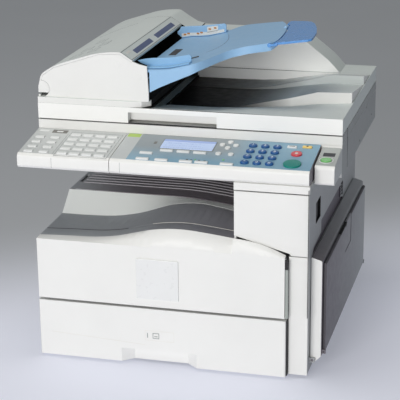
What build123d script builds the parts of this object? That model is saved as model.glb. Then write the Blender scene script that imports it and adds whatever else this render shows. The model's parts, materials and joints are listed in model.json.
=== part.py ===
from build123d import *
import os

# Desktop multifunction printer: a scanner with a document feeder above a laser engine.
# Every named place is measured from one datum corner of the machine:
# x runs right from the lid's left edge, y runs back from the lid's front face,
# z runs up from the table. The model's origin is the middle of its footprint.

os.makedirs("parts", exist_ok=True)

# Outer body
lid_width = 468.0
lid_depth = 346.0
wall = 3.0
seam = 1.0
foot_height = 4.0
foot_radius = 9.0
body_left = 28.0
body_right = 437.5
body_back = 340.0
scanner_floor = 283.0
scanner_height = 48.3
bezel_height = 14.0
lid_gap = 1.7
lid_height = 24.0

# Front of the machine
column_face = -94.0
cover_face = -104.0
cover_left = 28.0
cover_right = 405.0
cover_low = 95.5
cover_high = 190.5
drawer_left = 27.0
drawer_right = 407.0
drawer_top = 92.5
drawer_thick = 16.0
badge_thick = 2.0

# Lid hinge
hinge_pin_radius = 3.0
running_gap = 0.08
knuckle_radius = 4.5
hinge_y = lid_depth + 6.0
hinge_width = 32.0
hinge_places = (94.0, 344.0)

# Engine
paper_mid = 112.0
front_plate_y = -12.0
back_plate_y = 232.0
deck_z = 94.0
drum_radius = 15.0
drum_x = 385.0
drum_z = 150.0
transfer_radius = 8.0
hot_radius = 15.0
hot_x = 388.0
hot_z = 226.0
pressure_radius = 12.0
exit_radius = 7.5
exit_x = 346.0
exit_z = 252.0
feed_radius = 14.5
feed_x = 388.0
feed_z = 101.0
nip_gap = 0.3

# Control panel
panel_depth = 95.0
panel_slope = 0.14
panel_lip = 22.0
panel_split = 142.0
panel_right = 437.0
module_left = 439.0
module_depth = 65.0
key_rise = 1.4
key_depth = 5.0
key_gap = 0.3
flange = 0.8
flange_height = 1.4

# Heights that follow from the values above
scanner_top = scanner_floor + scanner_height
glass_top = scanner_top + bezel_height
lid_bottom = glass_top + lid_gap
lid_top = lid_bottom + lid_height
hinge_z = lid_bottom + 5.0
front_most = cover_face - badge_thick
back_most = hinge_y + knuckle_radius
mid_x = lid_width / 2
mid_y = (front_most + back_most) / 2


# Datum planes and plain forms

def front_plane(y):
    """Upright plane at depth y; its sketch runs right and up."""
    return Plane(origin=(-mid_x, y - mid_y, 0), x_dir=(1, 0, 0), z_dir=(0, -1, 0))


def side_plane(x):
    """Upright plane at place x; its sketch runs back and up."""
    return Plane(origin=(x - mid_x, -mid_y, 0), x_dir=(0, 1, 0), z_dir=(1, 0, 0))


def level_plane(z):
    """Level plane at height z; its sketch runs right and back."""
    return Plane(origin=(-mid_x, -mid_y, z))


def block(x, y, z, mode=Mode.ADD):
    """Box between three (low, high) pairs."""
    with BuildSketch(level_plane(z[0])) as base:
        with Locations(((x[0] + x[1]) / 2, (y[0] + y[1]) / 2)):
            Rectangle(x[1] - x[0], y[1] - y[0])
    extrude(base.sketch, amount=z[1] - z[0], mode=mode)


def past(span, extra=1.0):
    """Span made longer at both ends, so that a cut runs clean through."""
    return (span[0] - extra, span[1] + extra)


def prism_y(outline, y, mode=Mode.ADD):
    """Outline of (x, z) points carried from y[0] back to y[1]."""
    with BuildSketch(front_plane(y[1])) as profile:
        with BuildLine():
            Polyline(*outline, close=True)
        make_face()
    extrude(profile.sketch, amount=y[1] - y[0], mode=mode)


def prism_x(outline, x, mode=Mode.ADD):
    """Outline of (y, z) points carried from x[0] right to x[1]."""
    with BuildSketch(side_plane(x[0])) as profile:
        with BuildLine():
            Polyline(*outline, close=True)
        make_face()
    extrude(profile.sketch, amount=x[1] - x[0], mode=mode)


def prism_z(outline, z, mode=Mode.ADD):
    """Outline of (x, y) points carried from z[0] up to z[1]."""
    with BuildSketch(level_plane(z[0])) as profile:
        with BuildLine():
            Polyline(*outline, close=True)
        make_face()
    extrude(profile.sketch, amount=z[1] - z[0], mode=mode)


def rod_y(x, z, radius, y, mode=Mode.ADD):
    """Round bar along y."""
    with BuildSketch(front_plane(y[1])) as profile:
        with Locations((x, z)):
            Circle(radius)
    extrude(profile.sketch, amount=y[1] - y[0], mode=mode)


def rod_x(y, z, radius, x, mode=Mode.ADD):
    """Round bar along x."""
    with BuildSketch(side_plane(x[0])) as profile:
        with Locations((y, z)):
            Circle(radius)
    extrude(profile.sketch, amount=x[1] - x[0], mode=mode)


def rod_z(x, y, radius, z, mode=Mode.ADD):
    """Round bar along z."""
    with BuildSketch(level_plane(z[0])) as profile:
        with Locations((x, y)):
            Circle(radius)
    extrude(profile.sketch, amount=z[1] - z[0], mode=mode)


# Base frame: floor, side wall, two engine plates and the deck over the paper tray

floor_top = foot_height + wall
frame_left = body_left + wall
frame_right = body_right - 2 * wall
deck_top = deck_z + wall
deck_right = 370.0
tray_under = 186.0
column_left = 328.0
front_plate = (front_plate_y, front_plate_y + wall)
back_plate = (back_plate_y, back_plate_y + wall)
plate_top = scanner_floor - wall
runner_height = 2.0
runner_width = 10.0
runner_places = (46.0, 384.0)
leg_left = 404.0
cartridge_left = 280.0
cartridge_right = 364.0
cartridge_top = 176.0
cover_axis_y = cover_face + 7.0
cover_axis_z = cover_low + 6.0
cover_pin_radius = 2.0
drum_shaft = 5.0
transfer_shaft = 3.0
transfer_x = drum_x + drum_radius + transfer_radius + nip_gap
exit_shaft = 3.0
feed_shaft = 4.0
switch_y = 262.0
switch_z = 60.0
lug_width = 3.0
lug_radius = 3.7

with BuildPart() as base_frame:
    frame_front = column_face + 8.0
    block((frame_left, body_right - wall), (frame_front, body_back - wall), (foot_height, floor_top))
    block((frame_left, frame_left + wall), (frame_front, body_back - wall), (floor_top, 150))
    block((frame_left + wall, frame_right), back_plate, (floor_top, plate_top))
    block((frame_left + wall, deck_right), (frame_front, back_plate_y), (deck_z, deck_top))
    block((deck_right, cover_right - wall - seam / 2), (frame_front, frame_front + 24), (deck_z, deck_top))
    front_outline = (
        (frame_left + wall, deck_z),
        (leg_left, deck_z),
        (leg_left, floor_top),
        (frame_right, floor_top),
        (frame_right, plate_top),
        (column_left + 2 * wall, plate_top),
        (column_left + 2 * wall, tray_under),
        (frame_left + wall, tray_under),
    )
    prism_y(front_outline, front_plate)
    for place in runner_places:
        block(
            (place, place + runner_width),
            (frame_front + 6, back_plate_y - 7),
            (floor_top, floor_top + runner_height),
        )
    cartridge_hole = (cartridge_left - 4, cartridge_right + 4)
    block(cartridge_hole, past(front_plate), (deck_top, cartridge_top + 4), Mode.SUBTRACT)
    shafts = (
        (drum_x, drum_z, drum_shaft),
        (transfer_x, drum_z, transfer_shaft),
        (exit_x, exit_z, exit_shaft),
        (feed_x, feed_z, feed_shaft),
    )
    for shaft_x, shaft_z, shaft_radius in shafts:
        bearing_span = (front_plate[0] - 1, back_plate[1] + 1)
        rod_y(shaft_x, shaft_z, shaft_radius + running_gap, bearing_span, Mode.SUBTRACT)
    switch_window = ((switch_y - 17, switch_z - 20), (switch_y + 17, switch_z + 20))
    block(
        (frame_left - 1, frame_left + wall + 1),
        (switch_window[0][0], switch_window[1][0]),
        (switch_window[0][1], switch_window[1][1]),
        Mode.SUBTRACT,
    )
    lug_places = (cover_left + wall + nip_gap, cover_right - wall - nip_gap - lug_width)
    for lug_left in lug_places:
        lug = (lug_left, lug_left + lug_width)
        rod_x(cover_axis_y, cover_axis_z, lug_radius, lug)
        block(lug, (cover_axis_y, frame_front), (cover_axis_z - lug_radius, cover_axis_z + lug_radius))
        block(lug, (frame_front - 4, frame_front), (deck_z, cover_axis_z))
    rod_x(cover_axis_y, cover_axis_z, cover_pin_radius, (cover_left + 0.5, lug_places[0]))
    rod_x(
        cover_axis_y,
        cover_axis_z,
        cover_pin_radius,
        (lug_places[1] + lug_width, cover_right - 0.5),
    )
base_frame.part.label = "base_frame"
export_step(base_frame.part, "parts/base_frame.step")


# Rubber feet

foot_places = ((50.0, -60.0), (415.0, -60.0), (50.0, 310.0), (415.0, 310.0))

with BuildPart() as feet:
    for foot_x, foot_y in foot_places:
        rod_z(foot_x, foot_y, foot_radius, (0, foot_height))
feet.part.label = "feet"
export_step(feet.part, "parts/feet.step")


# Output tray: a low front band with a wave, a ramp, and a ribbed ledge under the paper

rim_y = -60.0
band_y = 10.0
ledge_y = 46.0
ledge_z = 219.5
exit_dip = 13.0
tray_left = body_left
tray_right = column_left - 0.5
tray_rib_pitch = 11.0
tray_rib_height = 1.4
tray_rib_width = 1.6

rim_points = (
    (28.0, 191.2),
    (73.0, 193.0),
    (115.0, 194.4),
    (146.0, 198.2),
    (169.0, 203.6),
    (186.0, 208.2),
    (209.0, 213.2),
    (233.0, 215.8),
    (256.0, 216.0),
    (290.0, 213.0),
    (328.0, 208.6),
)
band_points = (
    (28.0, 192.0),
    (73.0, 192.2),
    (115.0, 194.2),
    (146.0, 199.6),
    (169.0, 206.0),
    (186.0, 212.2),
    (209.0, 219.6),
    (233.0, 223.2),
    (256.0, 224.0),
    (290.0, 219.0),
    (328.0, 212.5),
)
wave_steps = 24


def curve_height(points, x):
    """Height at place x on a smooth curve through the (x, z) points."""
    last = len(points) - 2
    spot = min(last, max(0, sum(1 for point in points if point[0] <= x) - 1))
    slopes = []
    for end in (spot, spot + 1):
        before = points[max(0, end - 1)]
        after = points[min(len(points) - 1, end + 1)]
        slopes.append((after[1] - before[1]) / (after[0] - before[0]))
    (x0, z0), (x1, z1) = points[spot], points[spot + 1]
    width = x1 - x0
    t = (x - x0) / width
    ease = t * t * (3 - 2 * t)
    lean = slopes[0] * t * (1 - t) ** 2 - slopes[1] * (1 - t) * t * t
    return z0 + (z1 - z0) * ease + width * lean


def ledge_height(x):
    """Height of the ribbed ledge, level at the left and falling to the paper exit."""
    reach = max(0.0, (x - 205.0) / (tray_right - 205.0))
    return ledge_z - exit_dip * reach ** 1.6


wave_x = [tray_left + (tray_right - tray_left) * step / wave_steps for step in range(wave_steps + 1)]
rim_wave = [curve_height(rim_points, x) for x in wave_x]
band_wave = [curve_height(band_points, x) for x in wave_x]
ledge_wave = [ledge_height(x) for x in wave_x]


def wave_section(y, heights, thickness):
    """Closed strip under one wave line, as a sketch on the plane at depth y."""
    upper = list(zip(wave_x, heights))
    lower = [(x, z - thickness) for x, z in upper]
    with BuildSketch(front_plane(y)) as section:
        with BuildLine():
            Polyline(*upper, *reversed(lower), close=True)
        make_face()
    return section.sketch


def wave_band(front, back, front_heights, back_heights, thickness):
    """Plate between two wave lines at two depths, lofted along x."""
    sections = []
    for x, front_z, back_z in zip(wave_x, front_heights, back_heights):
        with BuildSketch(side_plane(x)) as section:
            with BuildLine():
                Polyline(
                    (front, front_z),
                    (back, back_z),
                    (back, back_z - thickness),
                    (front, front_z - thickness),
                    close=True,
                )
            make_face()
        sections.append(section.sketch)
    loft(sections, ruled=True)


with BuildPart() as output_tray:
    wave_band(rim_y + seam, band_y, rim_wave, band_wave, wall)
    wave_band(band_y, ledge_y, band_wave, ledge_wave, wall)
    extrude(wave_section(back_plate_y, ledge_wave, wall), amount=back_plate_y - ledge_y)
    block((tray_left, tray_right), (back_plate_y - wall, back_plate_y), (ledge_z - wall, scanner_floor))
    block(
        (tray_left + wall + seam, tray_right),
        (back_plate_y - wall, back_plate_y),
        (ledge_z - 22, ledge_z),
    )
    block((tray_left + wall, tray_right), (rim_y + seam, rim_y + seam + wall), (cartridge_top + 4, 190))
    block((tray_left + 2 * wall, tray_right), front_plate, (tray_under, 190))
    rib_count = int((back_plate_y - wall - ledge_y - 12) / tray_rib_pitch)
    for number in range(rib_count):
        rib_y = ledge_y + 12 + number * tray_rib_pitch
        rib = wave_section(rib_y, [z + tray_rib_height for z in ledge_wave], tray_rib_height + 1)
        extrude(rib, amount=tray_rib_width)
    plain_margin = (tray_left - 1, tray_left + 10)
    block(plain_margin, (ledge_y + 6, back_plate_y - 8), (ledge_z, ledge_z + 5), Mode.SUBTRACT)
    block((tray_left + 3, tray_left + 8), (88, 125), past((ledge_z, ledge_z), 5), Mode.SUBTRACT)
output_tray.part.label = "output_tray"
export_step(output_tray.part, "parts/output_tray.step")


# Side, back and front casings

cover_wall = 3.0
switch_length = 26.0
switch_width = 16.0
switch_pin = 1.5
left_front = cover_face + drawer_thick + seam
fit_gap = 0.3

with BuildPart() as left_cover:
    left_outline = (
        (left_front, foot_height + 2),
        (body_back - wall, foot_height + 2),
        (body_back - wall, scanner_floor),
        (back_plate_y + fit_gap, scanner_floor),
        (back_plate_y + fit_gap, ledge_z - wall - fit_gap),
        (ledge_y, ledge_z - wall - fit_gap),
        (band_y, band_wave[0] - wall - fit_gap),
        (rim_y + seam, rim_wave[0] - wall - fit_gap),
        (rim_y + seam, rim_wave[0] - wall - 2),
        (left_front, rim_wave[0] - wall - 2),
    )
    prism_x(left_outline, (body_left, body_left + cover_wall))
    pocket_half = switch_length / 2 + 1.4 + 2
    block(
        (body_left + cover_wall, body_left + cover_wall + 14),
        (switch_y - switch_width / 2 - 3, switch_y + switch_width / 2 + 3),
        (switch_z - pocket_half, switch_z + pocket_half),
    )
    block(
        (body_left - 1, body_left + cover_wall + 12),
        (switch_y - switch_width / 2 - 0.5, switch_y + switch_width / 2 + 0.5),
        (switch_z - pocket_half + 2, switch_z + pocket_half - 2),
        Mode.SUBTRACT,
    )
    rod_y(
        body_left + 8,
        switch_z,
        switch_pin + running_gap,
        (switch_y - switch_width / 2 - 2.5, switch_y + switch_width / 2 + 2.5),
        Mode.SUBTRACT,
    )
left_cover.part.label = "left_cover"
export_step(left_cover.part, "parts/left_cover.step")

with BuildPart() as power_switch:
    rocker = (
        (body_left + 10, switch_z - 10),
        (body_left + 1.5, switch_z - switch_length / 2),
        (body_left + 2.6, switch_z),
        (body_left - 0.6, switch_z + switch_length / 2),
        (body_left + 10, switch_z + 10),
    )
    prism_y(rocker, (switch_y - switch_width / 2, switch_y + switch_width / 2))
    rod_y(
        body_left + 8,
        switch_z,
        switch_pin,
        (switch_y - switch_width / 2 - 2.3, switch_y + switch_width / 2 + 2.3),
    )
power_switch.part.label = "power_switch"
export_step(power_switch.part, "parts/power_switch.step")

door_low = 19.0
door_high = 184.0
door_front = -75.0
door_back = 315.0
door_gap = 0.7
door_left = body_right + door_gap
door_out = 455.0
door_axis_x = door_left + 4.0
door_axis_z = door_low + 5.0
door_pin = 2.0
door_lugs = ((door_front - 4.5, door_front - 0.5), (door_back + 0.5, door_back + 4.5))

with BuildPart() as right_cover:
    right_outline = (
        (column_face + wall, foot_height + 2),
        (body_back - wall, foot_height + 2),
        (body_back - wall, scanner_floor),
        (column_face + wall, scanner_floor),
    )
    prism_x(right_outline, (body_right - cover_wall, body_right))
    cover_skin_x = past((body_right - cover_wall, body_right))
    block(
        cover_skin_x,
        (door_front + 8, door_back - 8),
        (door_low + 15, door_high - 12),
        Mode.SUBTRACT,
    )
    for lug_y in door_lugs:
        block(
            (body_right, door_axis_x + 3.6),
            lug_y,
            (door_axis_z - 3.6, door_axis_z + 3.6),
        )
        rod_y(door_axis_x, door_axis_z, door_pin + running_gap, (lug_y[0] - 1, lug_y[1] + 1), Mode.SUBTRACT)
    block(cover_skin_x, (-38, 0), (222, 254), Mode.SUBTRACT)
    for number in range(5):
        louvre_z = 194 + 4.4 * number
        block(cover_skin_x, (186, 206), (louvre_z, louvre_z + 2), Mode.SUBTRACT)
right_cover.part.label = "right_cover"
export_step(right_cover.part, "parts/right_cover.step")

inlet_x = 74.0
inlet_z = 33.0
inlet_half = 13.4
inlet_rise = 11.0
port_x = (210.0, 262.0)
port_z = (112.0, 128.0)

with BuildPart() as rear_cover:
    block((body_left, body_right), (body_back - wall, body_back), (foot_height + 2, scanner_floor))
    block(
        (inlet_x - inlet_half, inlet_x + inlet_half),
        (body_back - wall - 1, body_back + 1),
        (inlet_z - inlet_rise, inlet_z + inlet_rise),
        Mode.SUBTRACT,
    )
    block(port_x, (body_back - wall - 1, body_back + 1), port_z, Mode.SUBTRACT)
    for number in range(9):
        vent_x = 300 + 10 * number
        block((vent_x, vent_x + 4), past((body_back - wall, body_back)), (180, 240), Mode.SUBTRACT)
rear_cover.part.label = "rear_cover"
export_step(rear_cover.part, "parts/rear_cover.step")

column_low = 190.5
slant_x = 409.5
slant_z = (215.0, 194.0)
exit_slot = ((paper_mid - 110, paper_mid + 110), (exit_z - 14, exit_z + 2))

with BuildPart() as column_cover:
    column_outline = (
        (column_left, slant_z[0]),
        (slant_x, slant_z[1]),
        (slant_x + 3, column_low),
        (body_right, column_low),
        (body_right, scanner_floor),
        (column_left, scanner_floor),
    )
    prism_y(column_outline, (column_face, column_face + wall))
    block((column_left, column_left + wall), (column_face + wall, back_plate_y), (208, scanner_floor))
    block((column_left - 1, column_left + wall + 1), exit_slot[0], exit_slot[1], Mode.SUBTRACT)
column_cover.part.label = "column_cover"
export_step(column_cover.part, "parts/column_cover.step")

post_left = 409.0

with BuildPart() as post_cover:
    post_top = column_low - seam
    block((post_left, body_right), (column_face, column_face + wall), (foot_height + 1, post_top))
    block((post_left, post_left + wall), (column_face + wall, front_plate_y), (foot_height + wall, post_top))
post_cover.part.label = "post_cover"
export_step(post_cover.part, "parts/post_cover.step")


# Front cover: swings down on two pins to reach the toner cartridge

lip_y = -88.0
side_lip_y = column_face - 1.5
side_lip = ((327.0, 212.0), (348.0, 209.8), (367.0, 206.4), (386.0, 200.0), (405.0, 192.0))
cover_skin = 3.0
badge = ((182.0, 247.0), (109.0, 172.0))


def crown_section(x, z, reach, lip):
    """Strip over the cover's front edge at place x, up to the lip and back to reach."""
    middle = cover_high + 0.62 * (z - cover_high)
    with BuildSketch(side_plane(x)) as section:
        with BuildLine():
            Polyline(
                (cover_face, cover_high),
                ((cover_face + lip) / 2 - 1, middle),
                (lip, z),
                (reach, z),
                (reach, z - cover_skin),
                (lip + 1.5, z - cover_skin),
                (cover_face + cover_skin, cover_high - cover_skin),
                (cover_face, cover_high - cover_skin),
                close=True,
            )
        make_face()
    return section.sketch


with BuildPart() as front_cover:
    block(
        (cover_left, cover_right),
        (cover_face, cover_face + cover_skin),
        (cover_low, cover_high),
    )
    fillet(front_cover.edges().filter_by(Axis.X).group_by(Axis.Z)[0].sort_by(Axis.Y)[0], cover_skin - 0.4)
    for return_left in (cover_left, cover_right - wall):
        side_return = (
            (cover_face + 1, cover_low + 4),
            (cover_face + 5, cover_low),
            (cover_face + 10.5, cover_low),
            (cover_face + 12, cover_low + 3),
            (cover_face + 12, cover_high - 4),
            (cover_face + 1, cover_high),
        )
        prism_x(side_return, (return_left, return_left + wall))
        rod_x(
            cover_axis_y,
            cover_axis_z,
            cover_pin_radius + running_gap,
            (return_left - 1, return_left + wall + 1),
            Mode.SUBTRACT,
        )
    crown = [crown_section(x, z, rim_y, lip_y) for x, z in zip(wave_x, rim_wave)]
    loft(crown, ruled=True)
    side_steps = [tray_right + (cover_right - tray_right) * step / 8 for step in range(9)]
    shoulder = []
    for x in side_steps:
        shoulder.append(crown_section(x, curve_height(side_lip, x), side_lip_y, side_lip_y - 2))
    loft(shoulder, ruled=True)
front_cover.part.label = "front_cover"
export_step(front_cover.part, "parts/front_cover.step")

with BuildPart() as badge_plate:
    block(badge[0], (cover_face - badge_thick, cover_face), badge[1])
    fillet(badge_plate.edges().filter_by(Axis.Y), 1.5)
    chamfer(badge_plate.faces().sort_by(Axis.Y)[0].edges(), 0.6)
badge_plate.part.label = "badge_plate"
export_step(badge_plate.part, "parts/badge_plate.step")


# Paper tray that slides out at the front

tub = ((38.0, 400.0), (cover_face + drawer_thick, back_plate_y - 3))
tub_low = floor_top + runner_height
tub_high = 84.0
tub_wall = 2.5
notch = (155.0, 274.0)
notch_high = 26.0
notch_slant = 18.0
a4_length = 297.0
a4_width = 210.0
stack_right = tub[0][1] - tub_wall - 1.0

with BuildPart() as cassette:
    block(tub[0], tub[1], (tub_low, tub_high))
    block(
        (tub[0][0] + tub_wall, tub[0][1] - tub_wall),
        (tub[1][0] + tub_wall, tub[1][1] - tub_wall),
        (tub_low + tub_wall, tub_high + 1),
        Mode.SUBTRACT,
    )
    for mouth_y in (paper_mid - 45, paper_mid + 25):
        block(
            (tub[0][1] - tub_wall - 1, tub[0][1] + 1),
            (mouth_y, mouth_y + 20),
            (tub_high - 12, tub_high + 1),
            Mode.SUBTRACT,
        )
cassette.part.label = "cassette"
export_step(cassette.part, "parts/cassette.step")

with BuildPart() as cassette_front:
    drawer = (cover_face, cover_face + drawer_thick)
    block((drawer_left, drawer_right), drawer, (foot_height, drawer_top))
    block(
        (drawer_left + wall, drawer_right - wall),
        (cover_face + wall, drawer[1] + 1),
        (foot_height + wall, drawer_top - wall),
        Mode.SUBTRACT,
    )
    liner = (
        (notch[0] - wall, cover_face),
        (notch[1] + wall, cover_face),
        (notch[1] - notch_slant + wall, drawer[1]),
        (notch[0] + notch_slant - wall, drawer[1]),
    )
    prism_z(liner, (foot_height, notch_high + wall))
    finger_space = (
        (notch[0], cover_face - 1),
        (notch[1], cover_face - 1),
        (notch[1] - notch_slant, drawer[1] - 2),
        (notch[0] + notch_slant, drawer[1] - 2),
    )
    prism_z(finger_space, (foot_height - 1, notch_high), Mode.SUBTRACT)
    front_edges = cassette_front.faces().sort_by(Axis.Y)[0].outer_wire().edges().filter_by(Axis.Z)
    outer_edges = front_edges.sort_by(Axis.X)
    fillet((outer_edges[0], outer_edges[-1]), 2)
cassette_front.part.label = "cassette_front"
export_step(cassette_front.part, "parts/cassette_front.step")

lift_left = 200.0
lift_half = 68.0
lift_thick = 2.0
lift_z = tub_low + tub_wall + 2.5
lift_pin = 2.0

with BuildPart() as lift_plate:
    block(
        (lift_left, stack_right),
        (paper_mid - lift_half, paper_mid + lift_half),
        (lift_z + 1, lift_z + 1 + lift_thick),
    )
    rod_y(lift_left, lift_z, lift_pin, (paper_mid - lift_half, paper_mid + lift_half))
    for pad_y in (paper_mid - 12, paper_mid + 4):
        block((stack_right - 40, stack_right - 8), (pad_y, pad_y + 8), (lift_z + 1 + lift_thick, lift_z + 4))
lift_plate.part.label = "lift_plate"
export_step(lift_plate.part, "parts/lift_plate.step")

fence_floor = tub_low + tub_wall
fence_top = tub_high - 6
fence_x = (232.0, 330.0)
fence_thick = 3.0
fence_foot = 26.0


def side_fence(face_y, away):
    """Upright fence whose paper face lies at face_y, with its foot on the side away from it."""
    near = min(face_y, face_y + away * fence_thick)
    block(fence_x, (near, near + fence_thick), (fence_floor, fence_top))
    foot_edge = face_y + away * fence_foot
    block(
        (fence_x[0] + 20, fence_x[1] - 20),
        (min(face_y, foot_edge), max(face_y, foot_edge)),
        (fence_floor, fence_floor + 2.5),
    )


with BuildPart() as front_fence:
    side_fence(paper_mid - a4_width / 2 - 0.5, -1)
front_fence.part.label = "front_fence"
export_step(front_fence.part, "parts/front_fence.step")

rear_fence_face = paper_mid + a4_width / 2 + 0.5

with BuildPart() as rear_fence:
    block(fence_x, (rear_fence_face, rear_fence_face + fence_thick), (fence_floor, fence_top))
    block(
        (fence_x[0] + 20, fence_x[1] - 20),
        (rear_fence_face, rear_fence_face + 6),
        (fence_floor, fence_floor + 2.5),
    )
rear_fence.part.label = "rear_fence"
export_step(rear_fence.part, "parts/rear_fence.step")

with BuildPart() as end_fence:
    end_face = stack_right - a4_length - 0.5
    block((end_face - fence_thick, end_face), (paper_mid - 30, paper_mid + 30), (fence_floor, fence_top))
    foot_y = (paper_mid - 18, paper_mid + 18)
    block((end_face - fence_foot, end_face), foot_y, (fence_floor, fence_floor + 2.5))
end_fence.part.label = "end_fence"
export_step(end_fence.part, "parts/end_fence.step")


# Rollers between the two engine plates

plate_inside = (front_plate[1], back_plate[0])


def roller(x, z, radius, body, shaft_radius, shaft):
    """Roller body on its shaft, both along y."""
    rod_y(x, z, radius, body)
    rod_y(x, z, shaft_radius, shaft)


shaft_span = (front_plate_y + 0.5, back_plate[1] + 6)

with BuildPart() as feed_roller:
    roller(feed_x, feed_z, feed_radius, (paper_mid - 24, paper_mid + 24), feed_shaft, shaft_span)
feed_roller.part.label = "feed_roller"
export_step(feed_roller.part, "parts/feed_roller.step")

with BuildPart() as drum:
    roller(drum_x, drum_z, drum_radius, (plate_inside[0] + 8, plate_inside[1] - 8), drum_shaft, shaft_span)
drum.part.label = "drum"
export_step(drum.part, "parts/drum.step")

with BuildPart() as transfer_roller:
    transfer_body = (plate_inside[0] + 10, plate_inside[1] - 10)
    roller(transfer_x, drum_z, transfer_radius, transfer_body, transfer_shaft, shaft_span)
transfer_roller.part.label = "transfer_roller"
export_step(transfer_roller.part, "parts/transfer_roller.step")

with BuildPart() as exit_roller:
    rod_y(exit_x, exit_z, exit_shaft, shaft_span)
    for number in range(4):
        tyre_y = paper_mid - 84 + number * 50
        rod_y(exit_x, exit_z, exit_radius, (tyre_y, tyre_y + 18))
exit_roller.part.label = "exit_roller"
export_step(exit_roller.part, "parts/exit_roller.step")

fuser_wall = 3.0
fuser_x = (369.0, 431.0)
fuser_z = (206.0, 246.0)
pressure_x = hot_x + hot_radius + pressure_radius + nip_gap
hot_shaft = 7.0
pressure_shaft = 4.0

with BuildPart() as fuser_frame:
    for cheek_y in (plate_inside[0], plate_inside[1] - fuser_wall):
        block(fuser_x, (cheek_y, cheek_y + fuser_wall), fuser_z)
    block((fuser_x[0], fuser_x[0] + fuser_wall), plate_inside, fuser_z)
    block((fuser_x[0], hot_x + hot_radius - 3), plate_inside, (fuser_z[0], fuser_z[0] + 2))
    for bore_x, bore_radius in ((hot_x, hot_shaft), (pressure_x, pressure_shaft)):
        rod_y(
            bore_x,
            hot_z,
            bore_radius + running_gap,
            (plate_inside[0] - 1, plate_inside[1] + 1),
            Mode.SUBTRACT,
        )
fuser_frame.part.label = "fuser_frame"
export_step(fuser_frame.part, "parts/fuser_frame.step")

fuser_shaft = (plate_inside[0] + 0.5, plate_inside[1] - 0.5)
fuser_body = (plate_inside[0] + 7, plate_inside[1] - 7)

with BuildPart() as hot_roller:
    roller(hot_x, hot_z, hot_radius, fuser_body, hot_shaft, fuser_shaft)
hot_roller.part.label = "hot_roller"
export_step(hot_roller.part, "parts/hot_roller.step")

with BuildPart() as pressure_roller:
    roller(pressure_x, hot_z, pressure_radius, fuser_body, pressure_shaft, fuser_shaft)
pressure_roller.part.label = "pressure_roller"
export_step(pressure_roller.part, "parts/pressure_roller.step")


# Toner cartridge, laser unit, motor and electronics

cartridge_front = -60.0

with BuildPart() as toner_cartridge:
    cartridge_outline = (
        (cartridge_left, deck_top),
        (cartridge_right, deck_top),
        (cartridge_right, deck_top + 38),
        (cartridge_right - 14, cartridge_top - 10),
        (cartridge_right - 26, cartridge_top),
        (cartridge_left + 12, cartridge_top),
        (cartridge_left, cartridge_top - 14),
    )
    prism_y(cartridge_outline, (cartridge_front, back_plate_y - 4))
    block(
        (cartridge_left + 24, cartridge_right - 24),
        (cartridge_front - 7, cartridge_front),
        (deck_top + 26, deck_top + 44),
    )
    block(
        (cartridge_left + 27, cartridge_right - 27),
        (cartridge_front - 5, cartridge_front),
        (deck_top + 23, deck_top + 41),
        Mode.SUBTRACT,
    )
toner_cartridge.part.label = "toner_cartridge"
export_step(toner_cartridge.part, "parts/toner_cartridge.step")

with BuildPart() as laser_unit:
    laser_top = deck_top + 48
    block((70, 250), (paper_mid - 100, paper_mid + 100), (deck_top, laser_top))
    block((74, 246), (paper_mid - 96, paper_mid + 96), (laser_top, laser_top + 3))
    rod_z(130, paper_mid, 28, (laser_top + 3, laser_top + 9))
    block((240, 251), (paper_mid - 88, paper_mid + 88), (laser_top - 20, laser_top - 14), Mode.SUBTRACT)
laser_unit.part.label = "laser_unit"
export_step(laser_unit.part, "parts/laser_unit.step")

motor_x = 335.0
motor_z = 150.0

with BuildPart() as main_motor:
    block((motor_x - 28, motor_x + 28), (back_plate[1], back_plate[1] + 2), (motor_z - 28, motor_z + 28))
    rod_y(motor_x, motor_z, 24, (back_plate[1] + 2, back_plate[1] + 26))
    rod_y(motor_x, motor_z, 6, (back_plate[1] + 26, back_plate[1] + 30))
main_motor.part.label = "main_motor"
export_step(main_motor.part, "parts/main_motor.step")

with BuildPart() as power_supply:
    block((110, 250), (back_plate[1] + 4, body_back - 30), (floor_top, floor_top + 4))
    block((112, 248), (back_plate[1] + 6, body_back - 32), (floor_top + 4, floor_top + 52))
    groove_y = (back_plate[1] + 16, body_back - 42)
    for number in range(6):
        groove_x = 124 + 20 * number
        block((groove_x, groove_x + 6), groove_y, (floor_top + 50, floor_top + 53), Mode.SUBTRACT)
power_supply.part.label = "power_supply"
export_step(power_supply.part, "parts/power_supply.step")

board_y = 306.0
board = ((60.0, 290.0), (100.0, 268.0))

with BuildPart() as controller_board:
    block(board[0], (board_y, board_y + 1.6), board[1])
    for post_x in (board[0][0] + 8, board[0][1] - 8):
        for post_z in (board[1][0] + 8, board[1][1] - 8):
            rod_y(post_x, post_z, 3, (board_y + 1.6, body_back - wall))
    for chip_x, chip_z, chip_size in ((120, 190, 30), (180, 200, 22), (180, 160, 16), (240, 220, 26)):
        block((chip_x, chip_x + chip_size), (board_y - 3, board_y), (chip_z, chip_z + chip_size))
    for port_left in (port_x[0] + 3, port_x[0] + 28):
        block((port_left, port_left + 18), (board_y + 1.6, body_back - 1), past(port_z, -1))
        block((port_left + 2, port_left + 16), (body_back - 12, body_back), past(port_z, -3), Mode.SUBTRACT)
controller_board.part.label = "controller_board"
export_step(controller_board.part, "parts/controller_board.step")

inlet_flange = 4.0

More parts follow.
